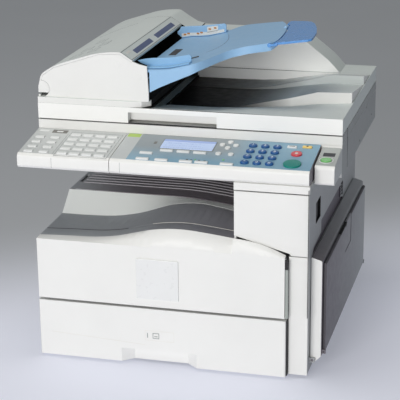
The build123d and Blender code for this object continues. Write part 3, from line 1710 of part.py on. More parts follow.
with BuildPart() as arm_housing:
    arm_outline = [
        (feeder_right + seam / 2, lid_top),
        (feeder_right + seam / 2, lid_top + 60),
        (338, lid_top + 60),
        (352, lid_top + 54.5),
        (365, lid_top + 46),
        (380, lid_top + 34.5),
        (397, lid_top + 21),
        (408, lid_top + 10),
        (416.7, lid_top),
    ]
    prism_y(arm_outline, arm_y)
    arm_inside = [
        (feeder_right + seam / 2 + wall, lid_top - 1),
        (feeder_right + seam / 2 + wall, lid_top + 57),
        (337, lid_top + 57),
        (362, lid_top + 44),
        (394, lid_top + 19),
        (411, lid_top - 1),
    ]
    prism_y(arm_inside, (arm_y[0] + wall, arm_y[1] - wall), Mode.SUBTRACT)
arm_housing.part.label = "arm_housing"
export_step(arm_housing.part, "parts/arm_housing.step")
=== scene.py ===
"""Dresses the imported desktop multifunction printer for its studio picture.

Places are given in millimetres from the same datum corner as the part's own drawing: x runs right
from the lid's left edge, y runs back from the lid's front face, z runs up from the table. The datum
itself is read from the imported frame, so every piece sits on the solid that carries it.
"""
from __future__ import annotations

import json
import logging
import math
from dataclasses import dataclass, field
from enum import Enum
from typing import Callable, Iterable, Sequence

import bmesh
import bpy
from mathutils import Matrix, Vector

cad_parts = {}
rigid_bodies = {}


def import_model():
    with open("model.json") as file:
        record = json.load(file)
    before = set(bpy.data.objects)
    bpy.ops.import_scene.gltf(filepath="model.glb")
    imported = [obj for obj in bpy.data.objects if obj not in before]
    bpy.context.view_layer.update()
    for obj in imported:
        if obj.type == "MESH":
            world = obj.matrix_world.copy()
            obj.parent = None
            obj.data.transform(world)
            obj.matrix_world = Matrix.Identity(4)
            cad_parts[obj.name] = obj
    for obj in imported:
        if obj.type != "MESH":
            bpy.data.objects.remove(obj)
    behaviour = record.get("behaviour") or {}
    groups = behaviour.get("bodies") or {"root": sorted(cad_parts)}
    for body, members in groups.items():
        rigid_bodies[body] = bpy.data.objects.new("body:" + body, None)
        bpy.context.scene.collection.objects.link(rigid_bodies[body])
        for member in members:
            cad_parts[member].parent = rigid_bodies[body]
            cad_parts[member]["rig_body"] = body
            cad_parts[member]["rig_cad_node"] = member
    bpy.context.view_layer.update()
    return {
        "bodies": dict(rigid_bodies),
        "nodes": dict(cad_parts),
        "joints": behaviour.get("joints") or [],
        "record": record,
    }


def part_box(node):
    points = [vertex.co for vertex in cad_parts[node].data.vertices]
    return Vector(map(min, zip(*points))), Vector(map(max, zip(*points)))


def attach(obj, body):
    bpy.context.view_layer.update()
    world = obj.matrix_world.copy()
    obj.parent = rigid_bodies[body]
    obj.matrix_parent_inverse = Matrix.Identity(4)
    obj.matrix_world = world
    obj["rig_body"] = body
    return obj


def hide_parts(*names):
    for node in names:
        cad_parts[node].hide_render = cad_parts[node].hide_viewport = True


log = logging.getLogger("printer")

Span = tuple[float, float]
Point2 = tuple[float, float]
Place = tuple[float, float, float]
Box = tuple[Span, Span, Span]
Outline = Sequence[Point2]
Socket = bpy.types.NodeSocket
Piece = bpy.types.Object
FaceTest = Callable[[Vector, Vector], bool]
EdgeTest = Callable[[Vector, Vector, float], bool]

MM = 0.001
TILE = 0.4
# Sockets of a colour mix: its share and two colours, and its result
MIX_INPUTS = (0, 6, 7)
MIX_RESULT = 2


class Shade(Enum):
    """Named finishes of the machine; those named for painted shade, painted shadow or painted highlight carry
    light and shade in their colour.
    """

    IVORY = "ivory_casing"
    SNOW = "casing_painted_highlight"
    SHADOW = "painted_shadow_black"
    STONE = "casing_painted_shade"
    GRAPHITE = "graphite_tray_painted_shade"
    RIB = "rib_painted_highlight"
    TRAY = "tray_ramp"
    BAND = "tray_band_painted_shade"
    FADE = "exit_floor"
    FADE_RISER = "exit_riser_painted_shadow"
    FADE_FAR = "exit_floor_far_painted_shadow"
    DOOR_FACE = "door_face_painted_shade"
    DOOR_TOP = "door_top_painted_shade"
    HOUSING = "housing_side_painted_shade"
    RECESS = "recess_shadow"
    EDGE = "edge_joint_and_painted_shade"
    LIP = "lip_painted_shade"
    DIGIT = "digit_blue"
    LABEL = "label_brown"
    SIDE = "side_casing_painted_shade"
    DOOR = "panel_end_painted_shade"
    KEYPAD = "keypad_silver"
    MODULE = "module_silver"
    PANEL = "panel_face"
    BLUE = "tray_blue"
    PALE_BLUE = "guide_blue"
    DEEP_BLUE = "extension_blue"
    CAP_WHITE = "cap_white"
    CAP_BLUE = "cap_blue"
    CAP_TEAL = "cap_teal"
    CAP_RED = "cap_red"
    CAP_YELLOW = "cap_yellow"
    CAP_GREEN = "cap_green"
    SCREEN = "screen"
    BADGE = "badge_plate"
    GLASS = "clear_glass"
    FOAM = "platen_foam"
    RUBBER = "rubber"
    ZINC = "zinc_sheet"
    STEEL = "turned_steel"
    DRUM = "drum_coating"
    BLACK = "black_plastic"
    BOARD = "circuit_board"
    INNER = "inner_plastic"
    PRINT_DARK = "print_dark"
    PRINT_GREY = "print_grey"
    PRINT_NAVY = "print_navy"
    PRINT_GREEN = "print_green"
    PRINT_ORANGE = "print_orange"
    PRINT_WHITE = "print_white"


Paints = Sequence[tuple[Shade, FaceTest]]


def linear(code: int) -> tuple[float, float, float, float]:
    """Turns a six-digit display colour into the linear colour of a shader.

    Args:
        code: colour as 0xRRGGBB.

    Returns:
        Linear red, green, blue and an opacity of one.
    """
    channels = [(code >> shift & 255) / 255 for shift in (16, 8, 0)]
    flat = [c / 12.92 if c <= 0.04045 else ((c + 0.055) / 1.055) ** 2.4 for c in channels]
    return (flat[0], flat[1], flat[2], 1.0)


class NodeBoard:
    """A material's node tree with short ways to add and join nodes."""

    def __init__(self, name: str) -> None:
        """Starts an empty tree with one principled shader.

        Args:
            name: the material's name.
        """
        self.material = bpy.data.materials.new(name)
        self.material.use_nodes = True
        self.tree = self.material.node_tree
        self.shader = self.tree.nodes["Principled BSDF"]
        self.place = self.tree.nodes.new("ShaderNodeTexCoord").outputs["Object"]

    def fill(self, socket: Socket, value: object) -> None:
        """Joins an input to another node's output, or sets it to a plain value.

        Args:
            socket: the input.
            value: an output socket, a number or a colour.
        """
        if isinstance(value, Socket):
            self.tree.links.new(value, socket)
        else:
            socket.default_value = value

    def add(self, kind: str, **inputs: object) -> bpy.types.Node:
        """Adds a node and fills its sockets.

        Args:
            kind: the node's type name.
            inputs: values or output sockets, keyed by socket name with underscores for blanks.

        Returns:
            The new node.
        """
        node = self.tree.nodes.new(kind)
        for key, value in inputs.items():
            self.fill(node.inputs[key.replace("_", " ")], value)
        return node

    def noise(self, scale: float, detail: float = 2.0, vector: Socket | None = None) -> Socket:
        """Cloudy pattern on the piece's own coordinates, as a value around one half."""
        node = self.add("ShaderNodeTexNoise", Vector=vector or self.place, Scale=scale, Detail=detail)
        return node.outputs["Fac"]

    def ranged(self, value: Socket, low: float, high: float, start: float = 0.3, end: float = 0.7) -> Socket:
        """Maps a value between start and end onto low and high."""
        reach = {"From_Min": start, "From_Max": end, "To_Min": low, "To_Max": high}
        return self.add("ShaderNodeMapRange", Value=value, **reach).outputs["Result"]

    def blended(self, share: Socket | float, first: object, second: object) -> Socket:
        """Mixes two colours.

        Args:
            share: how much of the second colour shows.
            first: a colour or an output socket.
            second: a colour or an output socket.

        Returns:
            The mixed colour.
        """
        node = self.tree.nodes.new("ShaderNodeMix")
        node.data_type = "RGBA"
        for number, value in zip(MIX_INPUTS, (share, first, second)):
            self.fill(node.inputs[number], value)
        return node.outputs[MIX_RESULT]

    def math(self, operation: str, first: object, second: object = 0.0) -> Socket:
        """Does one arithmetic step.

        Args:
            operation: the step's name.
            first: a number or an output socket.
            second: a number or an output socket.

        Returns:
            The result.
        """
        node = self.tree.nodes.new("ShaderNodeMath")
        node.operation = operation
        for socket, value in zip(node.inputs, (first, second)):
            self.fill(socket, value)
        return node.outputs[0]

    def set(self, **values: object) -> None:
        """Sets or joins sockets of the principled shader."""
        for key, value in values.items():
            self.fill(self.shader.inputs[key.replace("_", " ")], value)

    def relief(self, height: Socket, strength: float, depth: float) -> None:
        """Gives the surface a fine relief from a height pattern."""
        bump = self.add("ShaderNodeBump", Height=height, Strength=strength, Distance=depth)
        self.set(Normal=bump.outputs["Normal"])


@dataclass(frozen=True)
class Plastic:
    """Moulded plastic: a cast grain, a slow drift of colour and an uneven gloss."""

    colour: int
    roughness: float = 0.45
    grain: float = 0.25
    grain_size: float = 0.0007
    drift: float = 0.035
    coat: float = 0.0
    clear: float = 0.0

    def build(self, name: str) -> bpy.types.Material:
        """Makes the material.

        Args:
            name: the material's name.

        Returns:
            The material.
        """
        board = NodeBoard(name)
        base = linear(self.colour)
        low = tuple(c * (1 - self.drift) for c in base[:3]) + (1.0,)
        high = tuple(min(1.0, c * (1 + self.drift)) for c in base[:3]) + (1.0,)
        board.set(Base_Color=board.blended(board.noise(14.0, 3.0), low, high))
        scuff = board.noise(95.0, 4.0)
        board.set(Roughness=board.ranged(scuff, self.roughness - 0.05, self.roughness + 0.06))
        board.relief(board.noise(1 / self.grain_size, 1.0), self.grain, 0.00012)
        board.set(IOR=1.47, Coat_Weight=self.coat, Coat_Roughness=0.12, Transmission_Weight=self.clear)
        return board.material


@dataclass(frozen=True)
class PlasticWithPaintedShade:
    """Moulded plastic whose colour runs from a dark tone at one end to a lighter one at the other, as painted
    shade.
    """

    colour: int
    dark: int
    start: float
    end: float
    axis: str = "X"
    bend: float = 2.0
    shine: float = 0.5

    def build(self, name: str) -> bpy.types.Material:
        """Makes the material; its places are metres in the frame.

        Args:
            name: the material's name.

        Returns:
            The material.
        """
        board = NodeBoard(name)
        split = board.add("ShaderNodeSeparateXYZ", Vector=board.place)
        share = board.ranged(split.outputs[self.axis], 0.0, 1.0, self.start, self.end)
        share = board.math("POWER", share, self.bend)
        cloud = board.ranged(board.noise(14.0, 3.0), 0.0, 0.08)
        run = board.blended(share, linear(self.dark), linear(self.colour))
        tone = board.blended(cloud, run, linear(self.dark))
        board.set(Base_Color=tone, Roughness=board.ranged(board.noise(95.0, 4.0), 0.42, 0.54), IOR=1.47)
        board.set(Specular_IOR_Level=self.shine)
        board.relief(board.noise(1400.0, 1.0), 0.25, 0.00012)
        return board.material


@dataclass(frozen=True)
class PanelFace:
    """Face of the main panel: silver at the left and round the screen, blue-grey elsewhere."""

    silver: int
    middle: int
    blue: int
    edge_x: float
    zone_x: float
    zone_y: float

    def build(self, name: str) -> bpy.types.Material:
        """Makes the material; its places are metres in the frame.

        Args:
            name: the material's name.

        Returns:
            The material.
        """
        board = NodeBoard(name)
        split = board.add("ShaderNodeSeparateXYZ", Vector=board.place)
        right_side = board.math("GREATER_THAN", split.outputs["X"], self.edge_x)
        across = board.ranged(split.outputs["X"], 1.0, 0.0, self.zone_x, self.zone_x + 0.05)
        down = board.ranged(split.outputs["Y"], 0.0, 1.0, self.zone_y - 0.03, self.zone_y + 0.012)
        zone = board.math("MULTIPLY", across, down)
        face = board.blended(zone, linear(self.blue), linear(self.middle))
        tone = board.blended(right_side, linear(self.silver), face)
        cloud = board.ranged(board.noise(22.0, 3.0), 0.0, 0.06)
        board.set(Base_Color=board.blended(cloud, tone, (0.8, 0.84, 0.86, 1.0)))
        board.set(Roughness=board.ranged(board.noise(120.0), 0.36, 0.46), IOR=1.47)
        board.relief(board.noise(1600.0, 1.0), 0.2, 0.0001)
        return board.material


@dataclass(frozen=True)
class Metal:
    """Steel with fine drawn lines along one direction."""

    colour: int
    roughness: float
    stretch: tuple[float, float, float]

    def build(self, name: str) -> bpy.types.Material:
        """Makes the material.

        Args:
            name: the material's name.

        Returns:
            The material.
        """
        board = NodeBoard(name)
        mapped = board.add("ShaderNodeMapping", Vector=board.place, Scale=self.stretch)
        lines = board.noise(60.0, 4.0, mapped.outputs["Vector"])
        base = linear(self.colour)
        dark = tuple(c * 0.86 for c in base[:3]) + (1.0,)
        board.set(Base_Color=board.blended(lines, dark, base), Metallic=1.0)
        board.set(Roughness=board.ranged(lines, self.roughness - 0.06, self.roughness + 0.08))
        board.relief(lines, 0.15, 0.0001)
        return board.material


@dataclass(frozen=True)
class Rubber:
    """Dull rubber or foam with an open, speckled surface."""

    colour: int
    pore_size: float
    depth: float
    roughness: float = 0.85

    def build(self, name: str) -> bpy.types.Material:
        """Makes the material.

        Args:
            name: the material's name.

        Returns:
            The material.
        """
        board = NodeBoard(name)
        pores = board.noise(1 / self.pore_size, 3.0)
        base = linear(self.colour)
        dark = tuple(c * 0.8 for c in base[:3]) + (1.0,)
        board.set(Base_Color=board.blended(board.ranged(pores, 0.0, 1.0), dark, base))
        board.set(Roughness=self.roughness, Sheen_Weight=0.15, Sheen_Roughness=0.5)
        board.relief(pores, 0.5, self.depth)
        return board.material


@dataclass(frozen=True)
class Glass:
    """Flat glass pane with a faint green tint and a little dust in its gloss."""

    colour: int

    def build(self, name: str) -> bpy.types.Material:
        """Makes the material.

        Args:
            name: the material's name.

        Returns:
            The material.
        """
        board = NodeBoard(name)
        dust = board.ranged(board.noise(40.0, 5.0), 0.02, 0.08)
        board.set(Base_Color=linear(self.colour), Roughness=dust, Transmission_Weight=1.0, IOR=1.5)
        return board.material


@dataclass(frozen=True)
class Screen:
    """Backlit display: a pale ground, a darker head line and rows of small plain blocks."""

    ground: int
    band: int
    left: float
    right: float
    near: float
    far: float

    def build(self, name: str) -> bpy.types.Material:
        """Makes the material from the window's edges in the frame, in metres.

        Args:
            name: the material's name.

        Returns:
            The material.
        """
        board = NodeBoard(name)
        split = board.add("ShaderNodeSeparateXYZ", Vector=board.place)
        across = board.ranged(split.outputs["X"], 0.0, 1.0, self.left, self.right)
        down = board.ranged(split.outputs["Y"], 1.0, 0.0, self.near, self.far)
        head = board.math("LESS_THAN", down, 0.24)
        rows = board.math("GREATER_THAN", board.math("FRACT", board.math("MULTIPLY", down, 4.2)), 0.52)
        cells = board.math("GREATER_THAN", board.math("FRACT", board.math("MULTIPLY", across, 22.0)), 0.3)
        broken = board.math("GREATER_THAN", board.noise(330.0, 0.0), 0.47)
        after, before = board.math("GREATER_THAN", across, 0.06), board.math("LESS_THAN", across, 0.8)
        margin = board.math("MULTIPLY", after, before)
        blocks = board.math("MULTIPLY", rows, cells)
        blocks = board.math("MULTIPLY", blocks, board.math("MULTIPLY", broken, margin))
        blocks = board.math("MULTIPLY", blocks, 0.35)
        ground = board.blended(board.math("MULTIPLY", head, 0.75), linear(self.ground), linear(self.band))
        picture = board.blended(blocks, ground, linear(self.band))
        board.set(Base_Color=picture, Emission_Color=picture, Emission_Strength=0.25, Roughness=0.22)
        board.set(Coat_Weight=0.6, Coat_Roughness=0.08)
        return board.material


@dataclass(frozen=True)
class CircuitBoard:
    """Green board with copper tracks and a grid of pads."""

    colour: int
    copper: int

    def build(self, name: str) -> bpy.types.Material:
        """Makes the material.

        Args:
            name: the material's name.

        Returns:
            The material.
        """
        board = NodeBoard(name)
        bricks = board.add("ShaderNodeTexBrick", Vector=board.place, Scale=120.0, Mortar_Size=0.035)
        bricks.offset = 0.37
        tracks = board.math("SUBTRACT", 1.0, bricks.outputs["Fac"])
        tint = board.blended(board.math("SUBTRACT", 1.0, tracks), linear(self.colour), linear(self.copper))
        board.set(Base_Color=tint, Roughness=board.ranged(board.noise(50.0), 0.3, 0.5))
        board.relief(bricks.outputs["Fac"], 0.3, 0.0002)
        return board.material


class PaintShop:
    """Keeps one material for each finish."""

    def __init__(self, datum: Datum) -> None:
        """Lists what each finish is made of.

        Args:
            datum: the datum corner, which the painted shade gradients are placed from.
        """
        front_left = datum.at(205.0, -45.4, 0)
        back_right = datum.at(284.0, -14.0, 0)
        zone = datum.at(300.0, -52.0, 0)
        drawn_y = (6.0, 0.25, 6.0)
        drawn_z = (6.0, 6.0, 0.25)
        # spans of the painted shade gradients in metres: dark at the first place, lighter at the second
        fade = (datum.at(246.0, 0, 0).x, datum.at(374.0, 0, 0).x)
        far_shadow_x = (datum.at(190.0, 0, 0).x, datum.at(378.0, 0, 0).x)
        door = (datum.at(0, -75.0, 0).y, datum.at(0, 330.0, 0).y)
        band = (datum.at(330.0, 0, 0).x, datum.at(120.0, 0, 0).x)
        ledge = (datum.at(140.0, 0, 0).x, datum.at(38.0, 0, 0).x)
        self.made: dict[Shade, bpy.types.Material] = {}
        self.recipes = {
            Shade.IVORY: Plastic(0xEDEDEA),
            # painted highlight: a whiter tone for front faces that the lamp lights
            Shade.SNOW: Plastic(0xFAFAF7),
            # painted shadow: near-black for the feeder's mouth and the bypass tray's finger grip
            Shade.SHADOW: Plastic(0x060606, 0.8, 0.2),
            # painted shade: grey for tops and right sides of the white casing
            Shade.STONE: Plastic(0xDDE3E0),
            # dark tray plastic with painted shade, darker towards the right under the panels
            Shade.GRAPHITE: PlasticWithPaintedShade(0xA6A8AB, 0x6E686E, *ledge, bend=1.6),
            # painted highlight: ribs lighter than the ledge
            Shade.RIB: Plastic(0xB4B1B6, 0.45),
            # dark tray band with painted shade darker towards the right; also the painted shade on the front
            # cover's top
            Shade.BAND: PlasticWithPaintedShade(0xA0A4A8, 0x85838A, *band, bend=1.0),
            # painted shadow under the document tray: the exit tray darkens to near-black towards the feeder
            Shade.FADE: PlasticWithPaintedShade(0xDDE3E0, 0x060505, *fade, bend=2.6, shine=0.12),
            Shade.FADE_RISER: PlasticWithPaintedShade(0xEDEDEA, 0x070505, *fade, bend=2.4, shine=0.12),
            Shade.FADE_FAR: PlasticWithPaintedShade(0xD9DEDC, 0x1C1816, *far_shadow_x, bend=2.3, shine=0.2),
            Shade.TRAY: Plastic(0xF0F3F0, 0.4),
            # painted shade: grey for the right-hand casing
            Shade.SIDE: Plastic(0xAEB0B1, 0.5),
            # painted shade: dark for the main panel's right end
            Shade.DOOR: Plastic(0x7C777E, 0.48, 0.35),
            # painted shade on the side door and bypass tray, darker towards the front
            Shade.DOOR_FACE: PlasticWithPaintedShade(0xB8BCBD, 0x746F76, *door, axis="Y", bend=1.4),
            Shade.RECESS: Plastic(0x68626B, 0.5, 0.3),
            # dark joint lines, and painted shade on the bypass tray's front edges
            Shade.EDGE: Plastic(0x4A474D, 0.5, 0.3),
            Shade.DOOR_TOP: PlasticWithPaintedShade(0xB4B6B9, 0x6E686E, *door, axis="Y", bend=0.7),
            # painted shade: grey for the scanner housing's right side
            Shade.HOUSING: Plastic(0xA8ABAB, 0.5),
            # painted shade: grey for the lip in the gap beside the post
            Shade.LIP: Plastic(0xA2A8A4, 0.45),
            Shade.DIGIT: Plastic(0xE0ECF6, 0.35, 0.05),
            Shade.LABEL: Plastic(0x7A7874, 0.45, 0.05),
            Shade.KEYPAD: Plastic(0xCDD0CF, 0.42),
            Shade.MODULE: Plastic(0xB6BAB8, 0.42),
            Shade.PANEL: PanelFace(0xC6CACA, 0x9AA3A8, 0x86AEC4, datum.at(166.5, 0, 0).x, zone.x, zone.y),
            Shade.BLUE: Plastic(0x98C2E6, 0.42, 0.12, coat=0.08),
            Shade.PALE_BLUE: Plastic(0x8CBCE2, 0.36, 0.1, coat=0.12),
            Shade.DEEP_BLUE: Plastic(0x559BE2, 0.25, 0.05, coat=0.2, clear=0.08),
            Shade.CAP_WHITE: Plastic(0xE9EBEA, 0.38, 0.08),
            Shade.CAP_BLUE: Plastic(0x1F5894, 0.3, 0.06, coat=0.2),
            Shade.CAP_TEAL: Plastic(0x05877A, 0.32, 0.06, coat=0.12),
            Shade.CAP_RED: Plastic(0xD8404A, 0.28, 0.06, coat=0.3),
            Shade.CAP_YELLOW: Plastic(0xF5D070, 0.3, 0.06, coat=0.3),
            Shade.CAP_GREEN: Plastic(0x7DC878, 0.28, 0.06, coat=0.3),
            Shade.SCREEN: Screen(0xB4C8EC, 0x7A93CE, front_left.x, back_right.x, front_left.y, back_right.y),
            Shade.BADGE: Plastic(0xE9EAE9, 0.3, 0.06, coat=0.3),
            Shade.GLASS: Glass(0xE4F1EE),
            Shade.FOAM: Rubber(0xF2F2F0, 0.0009, 0.0003),
            Shade.RUBBER: Rubber(0x1E1E1F, 0.0006, 0.0002),
            Shade.ZINC: Metal(0xC4C7C9, 0.42, drawn_z),
            Shade.STEEL: Metal(0xD2D4D6, 0.25, drawn_y),
            Shade.DRUM: Plastic(0x1F6A5E, 0.15, 0.02, coat=0.6),
            Shade.BLACK: Plastic(0x17171A, 0.5, 0.3),
            Shade.BOARD: CircuitBoard(0x17532F, 0x8A6A3A),
            Shade.INNER: Plastic(0x3A3C3F, 0.55, 0.3),
            Shade.PRINT_DARK: Plastic(0x34353B, 0.5, 0.05),
            Shade.PRINT_GREY: Plastic(0x8C9292, 0.5, 0.05),
            Shade.PRINT_NAVY: Plastic(0x5A6688, 0.45, 0.05),
            Shade.PRINT_GREEN: Plastic(0xB6D36A, 0.4, 0.05),
            Shade.PRINT_ORANGE: Plastic(0xC9874F, 0.5, 0.05),
            Shade.PRINT_WHITE: Plastic(0xE8E6E0, 0.45, 0.05),
        }

    def of(self, shade: Shade) -> bpy.types.Material:
        """Gives the material of a finish, made at its first use.

        Args:
            shade: the finish.

        Returns:
            Its material.
        """
        if shade not in self.made:
            self.made[shade] = self.recipes[shade].build(shade.value)
        return self.made[shade]


@dataclass
class Datum:
    """Corner that every place is measured from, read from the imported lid."""

    corner: Vector

    def at(self, x: float, y: float, z: float) -> Vector:
        """Turns a place in millimetres into a point of the frame."""
        return Vector((self.corner.x + x * MM, self.corner.y + y * MM, z * MM))

    def back(self, point: Vector) -> Vector:
        """Turns a point of the frame into a place in millimetres."""
        return Vector(((point.x - self.corner.x) / MM, (point.y - self.corner.y) / MM, point.z / MM))


@dataclass(frozen=True)
class Plane:
    """Flat place to lay marks on: an origin and two directions along it, in millimetres."""

    origin: Vector
    across: Vector
    up: Vector

    @property
    def out(self) -> Vector:
        """Direction away from the surface."""
        return self.across.cross(self.up).normalized()

    def at(self, u: float, v: float, lift: float = 0.0) -> Vector:
        """Place at u across and v up, lifted off the surface."""
        return self.origin + self.across * u + self.up * v + self.out * lift


def bar(u: Span, v: Span, corner: float = 0.0, steps: int = 4) -> list[Point2]:
    """Outline of a rectangle with rounded corners.

    Args:
        u: left and right edge.
        v: lower and upper edge.
        corner: radius of the corners.
        steps: pieces in each corner.

    Returns:
        The outline, anticlockwise.
    """
    if not corner:
        return [(u[0], v[0]), (u[1], v[0]), (u[1], v[1]), (u[0], v[1])]
    centres = ((u[1] - corner, v[0] + corner), (u[1] - corner, v[1] - corner),
               (u[0] + corner, v[1] - corner), (u[0] + corner, v[0] + corner))
    outline = []
    for quarter, (cu, cv) in enumerate(centres):
        for step in range(steps + 1):
            angle = math.radians(-90 + 90 * quarter + 90 * step / steps)
            outline.append((cu + corner * math.cos(angle), cv + corner * math.sin(angle)))
    return outline


def ring(centre: Point2, radius: float, sides: int = 24) -> list[Point2]:
    """Outline of a circle, anticlockwise."""
    turns = [2 * math.pi * side / sides for side in range(sides)]
    return [(centre[0] + radius * math.cos(turn), centre[1] + radius * math.sin(turn)) for turn in turns]


def frame_bars(u: Span, v: Span, width: float) -> list[list[Point2]]:
    """Outlines of four thin bars round a rectangle.

    Args:
        u: left and right edge.
        v: lower and upper edge.
        width: width of the bars.

    Returns:
        One outline for each bar.
    """
    return [
        bar(u, (v[0], v[0] + width)), bar(u, (v[1] - width, v[1])),
        bar((u[0], u[0] + width), (v[0] + width, v[1] - width)),
        bar((u[1] - width, u[1]), (v[0] + width, v[1] - width)),
    ]


def longer_than(least: float) -> EdgeTest:
    """Test that picks the edges above a length in millimetres."""
    return lambda middle, run, length: length > least


def curve_height(points: Outline, x: float) -> float:
    """Height at place x on a smooth curve through the (x, z) points.

    Args:
        points: the curve's points, from left to right.
        x: place along the curve.

    Returns:
        The height there.
    """
    last = len(points) - 2
    spot = min(last, max(0, sum(1 for point in points if point[0] <= x) - 1))
    slopes = []
    for end in (spot, spot + 1):
        before = points[max(0, end - 1)]
        after = points[min(len(points) - 1, end + 1)]
        slopes.append((after[1] - before[1]) / (after[0] - before[0]))
    (x0, z0), (x1, z1) = points[spot], points[spot + 1]
    width = x1 - x0
    t = (x - x0) / width
    lean = slopes[0] * t * (1 - t) ** 2 - slopes[1] * (1 - t) * t * t
    return z0 + (z1 - z0) * t * t * (3 - 2 * t) + width * lean


def smoothed(points: Outline, steps: int, closed: bool = False) -> list[Point2]:
    """Rounds an outline by a curve that passes through all its points.

    Args:
        points: corners of the outline.
        steps: pieces that each side is divided into.
        closed: whether the last point joins the first.

    Returns:
        The finer outline.
    """
    count = len(points)
    fine: list[Point2] = []
    sides = count if closed else count - 1
    for side in range(sides):
        if closed:
            p0, p1, p2, p3 = (Vector(points[(side + k) % count]) for k in (-1, 0, 1, 2))
        else:
            p0 = Vector(points[max(0, side - 1)])
            p1, p2 = Vector(points[side]), Vector(points[side + 1])
            p3 = Vector(points[min(count - 1, side + 2)])
        for step in range(steps):
            t = step / steps
            a = 2 * p1
            b = (p2 - p0) * t
            c = (2 * p0 - 5 * p1 + 4 * p2 - p3) * t * t
            d = (3 * p1 - p0 - 3 * p2 + p3) * t ** 3
            fine.append(tuple((a + b + c + d) / 2))
    if not closed:
        fine.append(tuple(points[-1]))
    return fine


